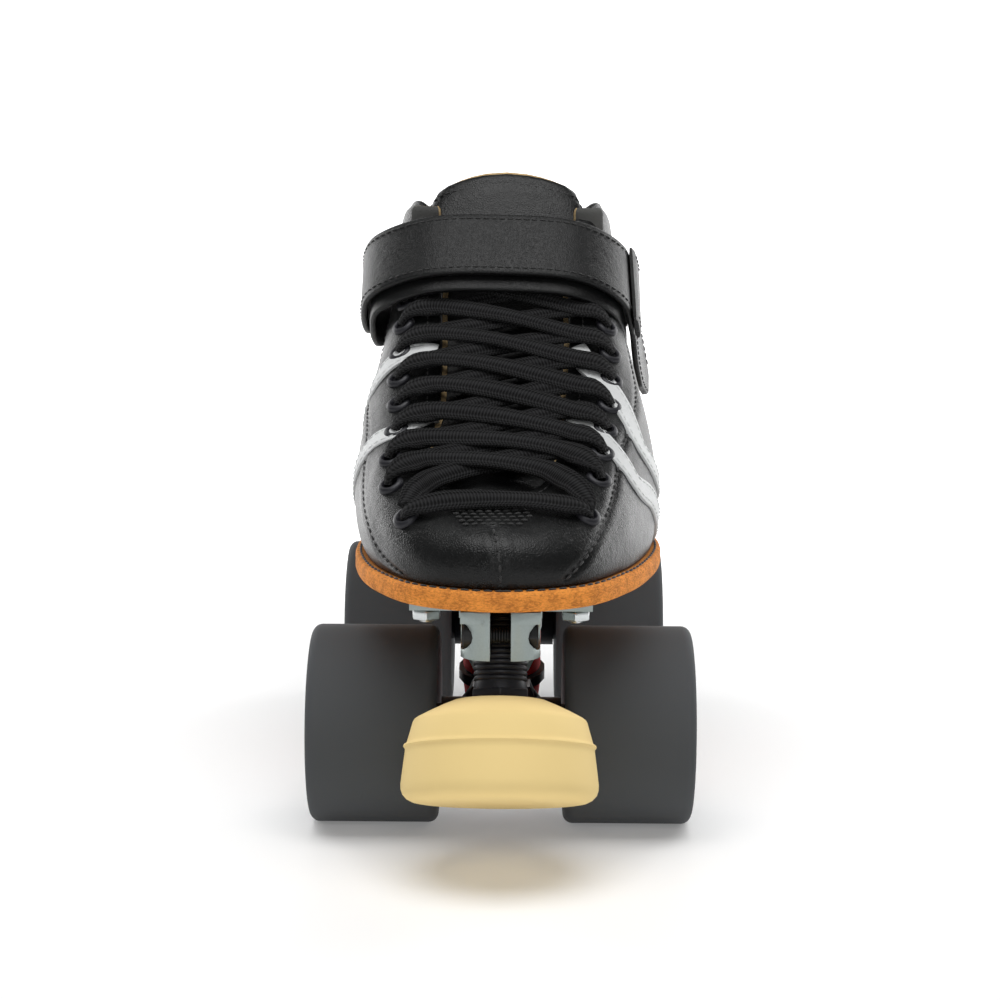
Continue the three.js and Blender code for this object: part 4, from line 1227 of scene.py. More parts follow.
@dataclass
class Upper:
    """The leather upper: one shell with its seams, lining, cut edges, stripes and eyelets."""

    columns: int = 440
    outer_rows: int = 78
    rim_rows: int = 6
    inner_rows: int = 20
    foot_rows: int = 2
    groove: float = 0.42
    lining_edge: float = 1.9
    collar_swell: float = 1.5
    stripe_width: float = 7.8

    @property
    def rows(self) -> int:
        """Faces round the whole section; the last ones close its foot."""
        return self.outer_rows + self.rim_rows + self.inner_rows + self.foot_rows

    def section(self, b: np.ndarray) -> tuple[np.ndarray, ...]:
        """Where a share round the shell's section lies.

        Args:
            b: shares round the section, from the outer foot up, over the rim and down inside.

        Returns:
            v, the height off the face, the rise above the top line, how much relief shows, and where
            the lining's edge stands past the leather.
        """
        j = b * self.rows
        up = np.clip(j / self.outer_rows, 0, 1)
        turn = np.clip((j - self.outer_rows) / self.rim_rows, 0, 1) * math.pi
        down = np.clip((j - self.outer_rows - self.rim_rows) / self.inner_rows, 0, 1)
        back = np.clip((j - self.rows + self.foot_rows) / self.foot_rows, 0, 1)
        v = np.where(turn > 0, 1 - down, up)
        height = -WALL / 2 * (1 - np.cos(turn)) * (1 - back)
        return v, height, 0.9 * np.sin(turn), 1 - smooth(turn, 0, 1.2), smooth(turn, 1.6, 2.0) * (down <= 0)

    def relief(self, u: np.ndarray, v: np.ndarray, points: np.ndarray) -> np.ndarray:
        """How far the outer leather stands off its even face, in millimetres.

        Args:
            u: stations round from the toe; a minus is the inner side.
            v: shares up the face.
            points: the face's points there.

        Returns:
            The heights.
        """
        turned = np.mod(u, len(STATIONS))
        from_toe = np.minimum(turned, len(STATIONS) - turned)
        ankle = smooth(from_toe, 5.7, 6.8)
        swell = self.collar_swell * smooth(v, 0.8, 0.88) * (1 - smooth(v, 0.95, 1)) * ankle
        vamp = 1 - smooth(from_toe, 2.6, 4.2)
        creases = 0.22 * vamp * smooth(v, 0.3, 0.6) * ripple(points, 17, 0.4)
        height = swell + creases + 0.22 * ripple(points, 52) + 0.1 * ripple(points, 23, 1.3)
        for line in (TOE_SEAM, *LEATHER_SEAMS):
            path = SURFACE.seam(line, step=2.5).points
            gap = np.full(len(points), 1e9)
            for start, end in zip(path, path[1:]):
                ahead = end - start
                share = np.clip((points - start) @ ahead / (ahead @ ahead), 0, 1)
                gap = np.minimum(gap, np.linalg.norm(points - start - share[:, None] * ahead, axis=1))
            height -= self.groove * np.exp(-((gap / 0.85) ** 2))
            height += 0.22 * np.exp(-(((gap - 2.4) / 1.5) ** 2))
        return height * smooth(v, 0, 0.05)

    def shell(self) -> Shape:
        """The shell: black outside, cloth inside and pale where the throat's edge is cut.

        Returns:
            The closed shape.
        """

        def place(a: np.ndarray, b: np.ndarray) -> np.ndarray:
            """The shell's points.

            Args:
                a: shares along.
                b: shares round.

            Returns:
                The points.
            """
            u = a * len(STATIONS)
            v, height, rise, shows, lined = self.section(b)
            rise = rise + self.lining_edge * lined * (1 - smooth(np.minimum(u, len(STATIONS) - u), 5.4, 5.8))
            base = SURFACE.point(u, v)
            outward = SURFACE.normal(u, v)
            along_v = unit(base - SURFACE.point(u, v - 0.03))
            height = height + shows * self.relief(u, v, base)
            made = base + outward * height[:, None] + along_v * rise[:, None]
            foot = v < 1e-6
            made[foot, 2] = base[foot, 2]
            return made

        rim = (self.outer_rows / self.rows, (self.outer_rows + self.rim_rows) / self.rows)

        def zone(a: float, b: float) -> int:
            """0 for the leather, 1 for the cut edge and 2 for the lining.

            Args:
                a: a face's share along.
                b: its share round.

            Returns:
                The number.
            """
            throat = min(a, 1 - a) * len(STATIONS) < 5.6
            if (rim[0] + rim[1]) / 2 < b < rim[1] + 1.2 / self.rows:
                return 1 if throat else 0
            return 2 if b >= rim[1] else 0

        return loft(self.columns, self.rows, place, zone)

    def stripe(self, stops: Profile) -> tuple[Shape, list[Seam]]:
        """One white band and the two sewn lines along its edges.

        Args:
            stops: the (u, v) stops of its middle line.

        Returns:
            The band and the lines.
        """
        path = SURFACE.seam(stops, step=1.6)
        ahead = unit(np.gradient(path.points, axis=0))
        across = unit(np.cross(path.normals, ahead))
        band = sweep(path.points, across, path.normals, oval(16, self.stripe_width, 1.7, 0.35))
        seams = [
            Seam(path.points + across * side * (self.stripe_width / 2 - 1.3) + path.normals * 0.8, path.normals)
            for side in (-1, 1)
        ]
        return band, seams

    def eyelet(self, u: float, v: float) -> Shape:
        """A rolled metal ring with its dark throat.

        Args:
            u: stations round from the toe; a minus is the inner side.
            v: shares up the face.

        Returns:
            The closed shape.
        """
        profile = [
            (0, 0.2), (1.9, 0.2), (2.2, 0.9), (2.6, 1.3), (3.3, 1.25), (3.9, 0.8), (4.1, 0.1), (4.0, -0.4),
            (0, -0.4),
        ]
        return spun(profile, 28, SURFACE.off(u, v, -0.2), SURFACE.normal(u, v))

    def tab(self, side: int) -> Shape:
        """The folded tab at the collar's front corner, its inner edge cut.

        Args:
            side: 1 for the outer tab and -1 for the inner one.

        Returns:
            The closed shape.
        """
        corner = SURFACE.point(side * 6.55, 1.0)
        up = np.linspace(-17, 1.2, 22)
        points = corner + np.stack([side * (0.3 - up * 0.02), -1.6 - up * 0.1, up], axis=1)
        across = np.broadcast_to(unit(np.array([1, side * 0.35, 0])), points.shape)
        facing = np.broadcast_to(unit(np.array([side * 0.35, -1, 0])), points.shape)
        ends = np.sqrt(np.clip(1 - np.clip((up + 1.2) / 2.6, 0, 1) ** 2, 0.03, 1))

        def zone(a: float, b: float) -> int:
            """1 along the edge next to the tongue."""
            return 1 if side * math.cos(2 * math.pi * b) < -0.9 else 0

        return sweep(points, across, facing, oval(40, 10.5, 2.6, 0.4), 0.75 + 0.25 * ends, ends, zone)

    def build(self) -> None:
        """Makes the upper and all that is sewn or set into it."""
        finishes = (BLACK_LEATHER, PALE_EDGE, LINING)
        make_piece("upper_shell", self.shell(), finishes, Slot.LEATHER, ("upper",), 60)
        threads = [SURFACE.seam(line).stitches() for line in LEATHER_SEAMS]
        threads += [SURFACE.seam(line, 0.1).stitches(2.6, 2.0, 0.5) for line in EDGE_SEAMS]
        threads.append(SURFACE.seam(TOE_SEAM, -0.1).stitches(3.1, 2.3, 1.0))
        for row in range(6):
            v = 0.56 + row * 0.042
            reach = 0.62 - 0.05 * abs(row - 4)
            line = SURFACE.seam(((-reach, v), (0, v + 0.02), (reach, v)), 0.15)
            threads.append(line.stitches(2.6, 2.0, 1.0))
        for name, stops in STRIPES:
            band, seams = self.stripe(stops)
            make_piece(f"stripe_{name}", band, (WHITE_LEATHER,), Slot.LEATHER)
            sewn = joined(seam.stitches(2.8, 2.2, 0.45) for seam in seams)
            make_piece(f"stripe_{name}_stitches", sewn, (WHITE_LEATHER,), Slot.LEATHER)
        make_piece("upper_stitches", joined(threads), (THREAD,), Slot.LACE)
        rings = joined(self.eyelet(side * u, v) for side in (-1, 1) for u, v in EYELETS)
        make_piece("eyelets", rings, (BLACK_METAL,), Slot.BLACK_METAL)
        for name, side in (("outer", 1), ("inner", -1)):
            make_piece(f"collar_tab_{name}", self.tab(side), (GREY_LEATHER, PALE_EDGE), Slot.LEATHER)


@dataclass
class Tongue:
    """The padded tongue under the laces, its domed end standing above the strap."""

    thickness: float = 5.0
    above: float = 21.0
    dome: float = 10.0
    clearance: float = 1.3
    padding: float = 0.9
    columns: int = 90
    rows: int = 56
    first: float = 1.1
    reach: float = 6.0
    throat_end: float = 6.1

    def face(self, rise: np.ndarray, s: np.ndarray, depth: np.ndarray) -> np.ndarray:
        """Points of the tongue.

        Args:
            rise: stations up the throat to its end, and one more to the top of the domed end.
            s: from -1 at the inner edge to 1 at the outer edge.
            depth: how far under the front face, in millimetres.

        Returns:
            The points.
        """
        u = np.minimum(rise, self.throat_end)
        under = -(WALL + self.clearance + depth)
        wrap = np.clip((np.abs(s) - 0.6) / 0.4, 0, None)
        edges = [SURFACE.off(side * u, THROAT_EDGE - 0.17 * wrap, under) for side in (-1, 1)]
        share = np.clip((s / 0.6 + 1) / 2, 0, 1)[:, None]
        arch = (4 * share * (1 - share)) * np.array([0, -1.2, 1.6])
        made = edges[0] * (1 - share) + edges[1] * share + arch
        above = np.clip(rise - self.throat_end, 0, 1)
        made[:, 0] *= 1 + 0.16 * above - 0.2 * above**3
        made[:, 1] += 13 * above
        made[:, 2] += (self.above - self.dome * s**2) * above
        return made

    def padded_shape(self) -> Shape:
        """The stuffed shape: crowned between a sewn border and its cut edges.

        Returns:
            The closed shape.
        """

        def place(a: np.ndarray, b: np.ndarray) -> np.ndarray:
            """The front face for the first half of b and the back for the rest.

            Args:
                a: shares along.
                b: shares round.

            Returns:
                The points.
            """
            rise = self.first + a * self.reach
            turn = b * 2 * math.pi
            s = np.cos(turn)
            s = np.sign(s) * np.abs(s) ** 0.75
            front = np.sign(np.sin(turn)) * np.abs(np.sin(turn)) ** 0.35
            end = np.sqrt(np.clip(1 - np.clip((rise - 6.85) / 0.25, 0, 1) ** 2, 0.02, 1))
            depth = self.thickness / 2 * (1 - front * end)
            sewn = np.exp(-(((np.abs(s) - 0.86) / 0.03) ** 2)) + np.exp(-(((rise - 6.86) / 0.05) ** 2))
            crown = self.padding * smooth(rise, 5.6, 6.3) * (1 - s**2) * (front > 0)
            made = self.face(rise, s, depth - crown + 0.5 * np.clip(sewn, 0, 1) * (front > 0))
            return made + (0.25 * ripple(made, 31, 0.7) * front)[:, None] * np.array([0, -0.7, 0.7])

        def zone(a: float, b: float) -> int:
            """0 for the leather, 1 for the cut edge and 2 for the cloth behind."""
            facing = math.sin(b * 2 * math.pi)
            return 1 if abs(facing) < 0.24 or a > 0.985 else (0 if facing > 0 else 2)

        return loft(self.columns, self.rows, place, zone)

    def build(self) -> None:
        """Makes the tongue and its sewn border."""
        finishes = (BLACK_LEATHER, PALE_EDGE, LINING)
        tongue = make_piece("tongue_padded", self.padded_shape(), finishes, Slot.LEATHER, ("tongue",), 60)
        lines = [(np.linspace(5.2, 6.84, 40), np.full(40, side * 0.86)) for side in (-1, 1)]
        lines.append((np.full(50, 6.86), np.linspace(-0.86, 0.86, 50)))
        seams = []
        for rise, s in lines:
            points = self.face(rise, s, np.full(len(s), -0.1))
            behind = self.face(rise, s, np.full(len(s), 2.0))
            seams.append(Seam(points, unit(points - behind)).stitches(2.6, 2.0, 0.55))
        make_piece("tongue_stitches", joined(seams), (THREAD,), Slot.LACE)


@dataclass
class Lacing:
    """The flat lace: one bar over the toe and crossed strands from eyelet to eyelet."""

    width: float = 7.0
    thickness: float = 1.7
    steps: int = 46

    def strand(self, stops: Sequence[tuple[float, float, float]], phase: float, hump: float) -> Shape:
        """A strand through (u, v, height) stops.

        Args:
            stops: places on the upper and heights above it.
            phase: where the strand's gentle twist starts.
            hump: how far its middle is raised over the strand that it crosses.

        Returns:
            The closed shape.
        """
        u, v, height = np.array(stops, float).T
        path = Curve(SURFACE.off(u, v, height))
        run = np.linspace(0, path.length, self.steps)
        points, ahead = path.along(run), path.heading(run)
        across = square_to((0, 0.8, 0.6), ahead)
        up = np.cross(ahead, across)
        up *= np.where(up[:, 2:] < 0, -1, 1)
        share = run / path.length
        twist = 0.16 * np.sin(2 * math.pi * share + phase) * np.sin(math.pi * share)
        turned = across * np.cos(twist)[:, None] + up * np.sin(twist)[:, None]
        up = unit(np.cross(ahead, turned) * np.sign(np.sum(np.cross(ahead, turned) * up, axis=1))[:, None])
        points = points + up * (self.thickness / 2 + hump * np.sin(math.pi * share) ** 2)[:, None]
        points += turned * (0.5 * np.sin(math.pi * share * 2 + phase))[:, None]
        gather = smooth(np.minimum(run, path.length - run), 0, 9)
        outline = oval(18, self.width, self.thickness, 0.5)
        return sweep(points, turned, up, outline, 0.5 + 0.5 * gather, 1.4 - 0.4 * gather)

    def build(self) -> None:
        """Makes the strands."""
        u, v = EYELETS[0]
        half = [(u, v, -0.4), (u - 0.1, v + 0.04, 1.3), (0.6 * u, 0.5 * v + 0.44, 2.0)]
        stops = [(-a, b, c) for a, b, c in half] + [(0, 0.82, 2.0)] + half[::-1]
        parts = [self.strand(stops, 0.4, 0.3)]
        for i, ends in enumerate(zip(EYELETS, EYELETS[1:])):
            rise, fall = (
                [(u, v, -0.2), (u, v + 0.04, 1.4), (u, (v + THROAT_EDGE) / 2, 2.2), (u, THROAT_EDGE, 2.0)]
                for u, v in ends
            )
            for side in (1, -1):
                stops = [(side * a, b, c) for a, b, c in rise] + [(-side * a, b, c) for a, b, c in fall[::-1]]
                parts.append(self.strand(stops, 1.3 * i + side, 1.9 if side > 0 else -0.2))
        make_piece("lace_strands", joined(parts), (LACE_BRAID,), Slot.LACE, ("laces",), 70)


@dataclass
class Strap:
    """The ankle strap: two layers, the wire loop, the tab that holds it and the peeling end."""

    width: float = 25.0
    thickness: float = 2.4
    layer_gap: float = 0.8
    wire: float = 1.5
    loop_depth: float = 9.0
    tab_wall: float = 1.6
    tip_share: float = 0.55
    drawn_in: float = 0.34
    front: tuple[Point, ...] = (
        (-46.5, 152, 76.5), (-43, 137.5, 85), (-26, 128, 91.5), (0, 126.5, 92.5), (24, 127, 90.5),
        (37.5, 135.5, 83.5), (42, 152, 72.5),
    )
    tail: tuple[Point, ...] = ((44, 164, 61), (46.5, 174, 50.5), (49.5, 182, 41))
    lean: Point = (0, 0.66, 0.75)
    bar_spot: tuple[float, float] = (-8.0, 0.5)
    rivet_spot: tuple[float, float] = (-9.0, 0.35)
    sewing: tuple[float, float, float] = (2.7, 2.1, 0.5)

    def __post_init__(self) -> None:
        """Finds the loop's bars and the lines that the two layers follow."""
        self.layer = self.thickness + self.layer_gap / 2
        self.bore = self.wire + 0.25
        self.rear_bar = SURFACE.off(*self.bar_spot, 0.4 + self.tab_wall + self.bore)
        shared = placed(self.front)
        self.loop_ahead = unit(shared[0] - self.rear_bar)
        self.loop_across = square_to(self.lean, self.loop_ahead)
        self.front_bar = self.rear_bar + self.loop_ahead * self.loop_depth
        anchor = [SURFACE.off(7.35, 0.5, self.layer + 1.2), SURFACE.off(7.75, 0.34, self.layer + 0.8)]
        self.flap_line = Curve([self.front_bar, *shared, *placed(self.tail)])
        self.base_line = Curve([self.front_bar, *shared, *anchor])
        self.split = float(np.interp(0.7, self.flap_line.shares, self.flap_line.distances))

    def strip(
        self, line: Curve, start: float, end: float, raised: float, width: float, thickness: float,
        tip: float = 0, shift: float = 0, root: float = 0,
    ) -> tuple[Shape, list[Seam]]:
        """A length of strap and the sewn lines along its edges.

        Args:
            line: what it follows.
            start: where it starts along the line, in millimetres.
            end: where it ends.
            raised: how far its middle is outside the line.
            width: its width.
            thickness: its thickness.
            tip: how much narrower its far end is.
            shift: how far it lies above the line, along its width.
            root: how much narrower its near end is, the lower edge drawn up.

        Returns:
            The shape, and a seam along each edge on the outer face.
        """
        run = np.linspace(start, end, max(8, int((end - start) / 1.6)))
        ahead = line.heading(run)
        across = square_to(self.lean, ahead)
        outward = unit(np.cross(ahead, across))
        drawn = root * (1 - smooth(run - start, 4, 34))
        points = line.along(run) + outward * raised + across * (shift + drawn * width / 2)[:, None]
        left = (line.length - run) / self.width
        wide = np.minimum(1, 1 - tip + left) if tip else 1 - drawn
        if tip:
            wide = wide * np.sqrt(np.clip(1 - (1 - np.clip(left / 0.16, 0, 1)) ** 2, 0.05, 1))
        taper = np.minimum(1, 0.45 + np.minimum(run - start, end - run) / 1.2)
        shape = sweep(points, across, outward, oval(26, width, thickness, 0.3), wide, taper)
        keep = slice(1, -2 if tip else -1)
        half = (width / 2 - 2.2) * wide
        seams = [
            Seam((points + across * (side * half)[:, None] + outward * thickness / 2)[keep], outward[keep])
            for side in (-1, 1)
        ]
        return shape, seams

    def loop(self) -> Shape:
        """The rectangular wire loop with rounded corners.

        Returns:
            The closed shape.
        """
        half, bend = self.width / 2 + self.wire + 1, 2.6
        corners = []
        for across, ahead, turn in ((1, 1, 0), (-1, 1, 1), (-1, 0, 2), (1, 0, 3)):
            middle = (across * (half - bend), (self.loop_depth - bend) if ahead else bend)
            for k in range(7):
                angle = (turn + k / 6) * math.pi / 2
                corners.append((middle[0] + bend * math.cos(angle), middle[1] + bend * math.sin(angle)))
        flat = np.array([*corners, corners[0]])
        points = self.rear_bar + flat[:, :1] * self.loop_across + flat[:, 1:] * self.loop_ahead
        ahead = unit(np.vstack([points[1] - points[-2], points[2:] - points[:-2], points[1] - points[-2]]))
        out = np.broadcast_to(np.cross(self.loop_across, self.loop_ahead), points.shape)
        return sweep(points, unit(np.cross(out, ahead)), out, oval(14, 2 * self.wire, 2 * self.wire, 1))

    def holding_tab(self) -> Shape:
        """The tab folded round the loop's rear bar, both its ends sewn to the quarter.

        Returns:
            The closed shape.
        """
        outward = unit(np.cross(self.loop_across, self.loop_ahead))
        if outward @ SURFACE.normal(*self.bar_spot) < 0:
            outward = -outward
        under = [SURFACE.off(-9.4 + 1.3 * k, 0.3 + 0.19 * k, 1.1) for k in (0, 0.35, 0.7, 0.95)]
        bend = self.bore + self.tab_wall / 2
        turn = np.linspace(-0.5, 0.5, 9) * math.pi
        round_bar = [
            self.rear_bar + self.loop_ahead * bend * math.cos(t) + outward * bend * math.sin(t) for t in turn
        ]
        over = [SURFACE.off(-9.3 + 1.3 * k, 0.31 + 0.19 * k, 2.8 + 1.6 * k) for k in (0.75, 0.4, 0)]
        line = Curve([*under, *round_bar, *over])
        run = np.linspace(0, line.length, 70)
        ahead = line.heading(run)
        across = square_to(self.loop_across, ahead)
        points = line.along(run) + self.loop_across * 2.5
        return sweep(points, across, np.cross(ahead, across), oval(16, self.width - 8, self.tab_wall, 0.35))

    def hook(self) -> Shape:
        """The inner layer's turn round the loop's front bar.

        Returns:
            The closed shape.
        """
        bend = self.bore + self.tab_wall / 2
        out = unit(np.cross(self.loop_ahead, self.loop_across))
        turn = np.linspace(0.1, 1.9, 24) * math.pi
        width = self.width * (1 - self.drawn_in)
        middle = self.front_bar + self.loop_across * (self.width - width) / 2
        points = np.array([
            middle + self.loop_ahead * bend * math.cos(t) + out * bend * math.sin(t) for t in turn
        ])
        ahead = unit(np.gradient(points, axis=0))
        across = np.broadcast_to(self.loop_across, points.shape)
        return sweep(points, across, np.cross(ahead, across), oval(16, width, self.tab_wall, 0.35))

    def build(self) -> None:
        """Makes the strap's pieces."""
        leather = (STRAP_LEATHER,)
        out = (self.thickness + self.layer_gap) / 2
        flap_from = self.bore + self.tab_wall + 0.6
        base, _ = self.strip(
            self.base_line, self.bore + 0.4, self.base_line.length, -out, self.width + 3, self.thickness,
            shift=-3, root=self.drawn_in,
        )
        make_piece("strap_inner_layer", joined([base, self.hook()]), leather, Slot.LEATHER, ("strap_base",), 60)
        pile, _ = self.strip(self.flap_line, flap_from + 3, self.split - 1, 0, self.width - 5, self.layer_gap)
        make_piece("strap_fastener", pile, (PILE,), Slot.LACE)
        flap, seams = self.strip(
            self.flap_line, flap_from, self.split, out, self.width, self.thickness, root=self.drawn_in,
        )
        patch, sides = self.strip(
            self.flap_line, self.split - 15, self.split - 1.5, out + 2.2, self.width + 3, self.thickness,
            shift=-1,
        )
        patch = joined([patch, *(side.stitches(*self.sewing) for side in sides)])
        make_piece("strap_patch", patch, leather, Slot.LEATHER)
        make_piece("strap_outer_layer", flap, leather, Slot.LEATHER, ("strap_flap",), 60)
        sewn = joined(seam.stitches(*self.sewing) for seam in seams)
        make_piece("strap_stitches", sewn, (THREAD,), Slot.LACE)
        end, seams = self.strip(
            self.flap_line, self.split, self.flap_line.length, out, self.width, self.thickness, self.tip_share,
        )
        start = self.flap_line.along(np.array([self.split]))[0]
        towards = start + self.flap_line.heading(np.array([self.split]))[0] * 9
        sewn = joined(seam.stitches(*self.sewing) for seam in seams)
        for piece in (
            make_piece("strap_pointed_end", end, leather, Slot.LEATHER, ("strap_tail",), 60, None),
            make_piece("strap_end_stitches", sewn, (THREAD,), Slot.LACE, body=None),
        ):
            tuple(start * MM)
            tuple(towards * MM)
            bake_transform(piece)
        make_piece("strap_loop", self.loop(), (LOOP_METAL,), Slot.STEEL, ("strap_ring",))
        make_piece("loop_tab", self.holding_tab(), leather, Slot.LEATHER, ("strap_keeper",), 60)
        head = [(0, 0), (2.6, 0), (2.4, 0.7), (1.4, 1.3), (0, 1.5)]
        rivet = spun(head, 24, SURFACE.off(*self.rivet_spot, 3.2), SURFACE.normal(*self.rivet_spot))
        make_piece("tab_rivet", rivet, (STEEL,), Slot.STEEL)


@dataclass
class Footing:
    """What the upper stands on: the sole with its welt, the stacked heel and the footbed."""

    columns: int = 170
    heel_rounding: float = 0.7
    footbed_inset: float = 8.0
    footbed_thickness: float = 3.0
    footbed_above: float = 2.0
    edge_run: float = 30.0

    def slab(self, section: Profile) -> Shape:
        """A slab that follows the sole.

        Args:
            section: (distance inside the sole's edge, height above its top) pairs, from the upper face
                round the edge.

        Returns:
            The closed shape.
        """
        count = len(section)
        inset, height = np.array(section, float).T

        def place(a: np.ndarray, b: np.ndarray) -> np.ndarray:
            """The section carried down the outer side and back up the inner side at once.

            Args:
                a: shares along.
                b: shares round.

            Returns:
                The points.
            """
            i = np.rint(b * 2 * count).astype(int) % (2 * count)
            outer = i < count
            k = np.where(outer, i, 2 * count - 1 - i)
            turn = np.where(outer, a / 2, 1 - a / 2)
            return SURFACE.on_sole(SURFACE.beside(turn, -inset[k]), height[k])

        return loft(self.columns, 2 * count, place, reach=(SOLE_LENGTH, self.edge_run))

    def build(self) -> None:
        """Makes the three layers and the welt's stitches."""
        low = -SOLE_THICKNESS
        section = [
            (9, 0), (4, 0), (1.5, 0), (0.7, -0.15), (0.22, -0.6), (0, -1.3), (0, -2.1), (0.04, -2.5),
            (0.14, -2.75), (0.04, -3.0), (0, -3.4), (0, -4.6), (0.25, -5.4), (0.8, low + 0.12), (1.6, low),
            (4, low), (9, low),
        ]
        make_piece("outsole", self.slab(section), (RAW_EDGE,), Slot.TAN, ("sole",), 70)
        turns = np.linspace(0, 1, 500)
        ledge = SURFACE.on_sole(SURFACE.beside(turns, np.full(500, -1.7)), 0.0)
        seam = Seam(ledge, np.broadcast_to((0.0, 0.0, 1.0), ledge.shape)).stitches(3.4, 2.7, 0.9)
        make_piece("welt_stitches", seam, (THREAD,), Slot.LACE)
        stack = softened("heel_block", self.heel_rounding)
        make_piece("heel_stack", stack, (HEEL_STACK,), Slot.TAN, ("heel_block",))
        inset, low = self.footbed_inset, self.footbed_above
        top = low + self.footbed_thickness
        section = [
            (inset + 18, top + 1.1), (inset + 11, top + 0.9), (inset + 5, top + 0.3), (inset + 2, top - 0.4),
            (inset + 0.6, top - 1.2), (inset, top - 2), (inset + 0.4, low + 0.2), (inset + 2, low),
            (inset + 18, low),
        ]
        footbed = make_piece("footbed", self.slab(section), (LINING,), Slot.TAN, ("insole",), 70)


# ---- The plate and its fasteners --------------------------------------------------------------


@dataclass
class Plate:
    """The cast plate with its mounting bolts and the nose's clamp bolt."""

    rounding: float = 0.8
    bolts: tuple[tuple[str, float, float, float], ...] = (
        ("front_outer", 22, -40, 0), ("front_inner", -22, -40, 0),
        ("rear_outer", 18, 164, 12), ("rear_inner", -18, 164, 12),
    )
    clamp: Point = (0, -57.5, 71.5)
    clamp_radius: float = 2.4
    nose_bend: float = 8.0
    nose_slot: float = 3.6
    nose_start: float = 55.0

    def spare(self) -> list[Shape]:
        """What is cut away: the nose's square corners and the deck's flange beside it.

        Returns:
            The cutters.
        """
        turn = np.linspace(0, math.pi / 2, 9)
        y, bend, slot = FRONT_AXLE[1] - self.nose_start, self.nose_bend, self.nose_slot
        cut = []
        for side in (-1, 1):
            arc = [(side * (slot + bend * math.cos(t)), y - bend * math.sin(t)) for t in turn]
            cut.append(prism([(side * 20, y), *arc, (side * slot, y - 15), (side * 20, y - 15)], 60, 75.8))
            front = [(12, -80), (40, -80), (40, -26), (26.9, -26), (26.9, -44.8), (12, -44.8)]
            cut.append(prism([(side * x, FRONT_AXLE[1] + ahead) for x, ahead in front], 74, 82))
        return cut

    def build(self) -> None:
        """Makes the plate and what goes through it."""
        shape = softened("baseplate", self.rounding, self.spare())
        make_piece("plate", shape, (CAST_METAL,), Slot.ALUMINIUM, ("baseplate",))
        up = (0, 0, 1)
        for name, x, y, rise in self.bolts:
            spot = (x, FRONT_AXLE[1] + y, 0)
            head = SOLE_TOP + 0.3 + rise
            screw = spun([
                (0, 72), (2.1, 72), (2.4, 72.4), (2.4, head), (4.5, head), (4.4, head + 0.6), (3.4, head + 1.3),
                (1.6, head + 1.4), (1.4, head + 0.5), (0, head + 0.5),
            ], 32, spot, up)
            make_piece(f"mount_screw_{name}", screw, (STEEL,), Slot.STEEL, (f"mount_bolt_{name}",))
            nut = hexagon(4.6, 72.7, 75.7, spot, up)
            make_piece(f"mount_hexagon_{name}", nut, (STEEL,), Slot.STEEL, (f"mount_nut_{name}",))
        spot = (self.clamp[0], FRONT_AXLE[1] + self.clamp[1], self.clamp[2])
        across = (1, 0, 0)
        screw = spun([
            (0, -8.6), (1.9, -9.2), (1.9, -11.0), (3.3, -11.1), (3.9, -10.5), (3.9, -7.8), (2.4, -7.8),
            *threaded(self.clamp_radius, -7.6, 10.6, 0.8), (1.8, 10.9), (0, 10.9),
        ], 32, spot, across)
        make_piece("clamp_screw", screw, (DARK_STEEL,), Slot.STEEL, ("clamp_bolt",))
        nut = hexagon(3.9, 7.8, 10.9, spot, across)
        make_piece("clamp_hexagon", nut, (DARK_STEEL,), Slot.STEEL, ("clamp_nut",))


# ---- The trucks and wheels -------------------------------------------------------------------


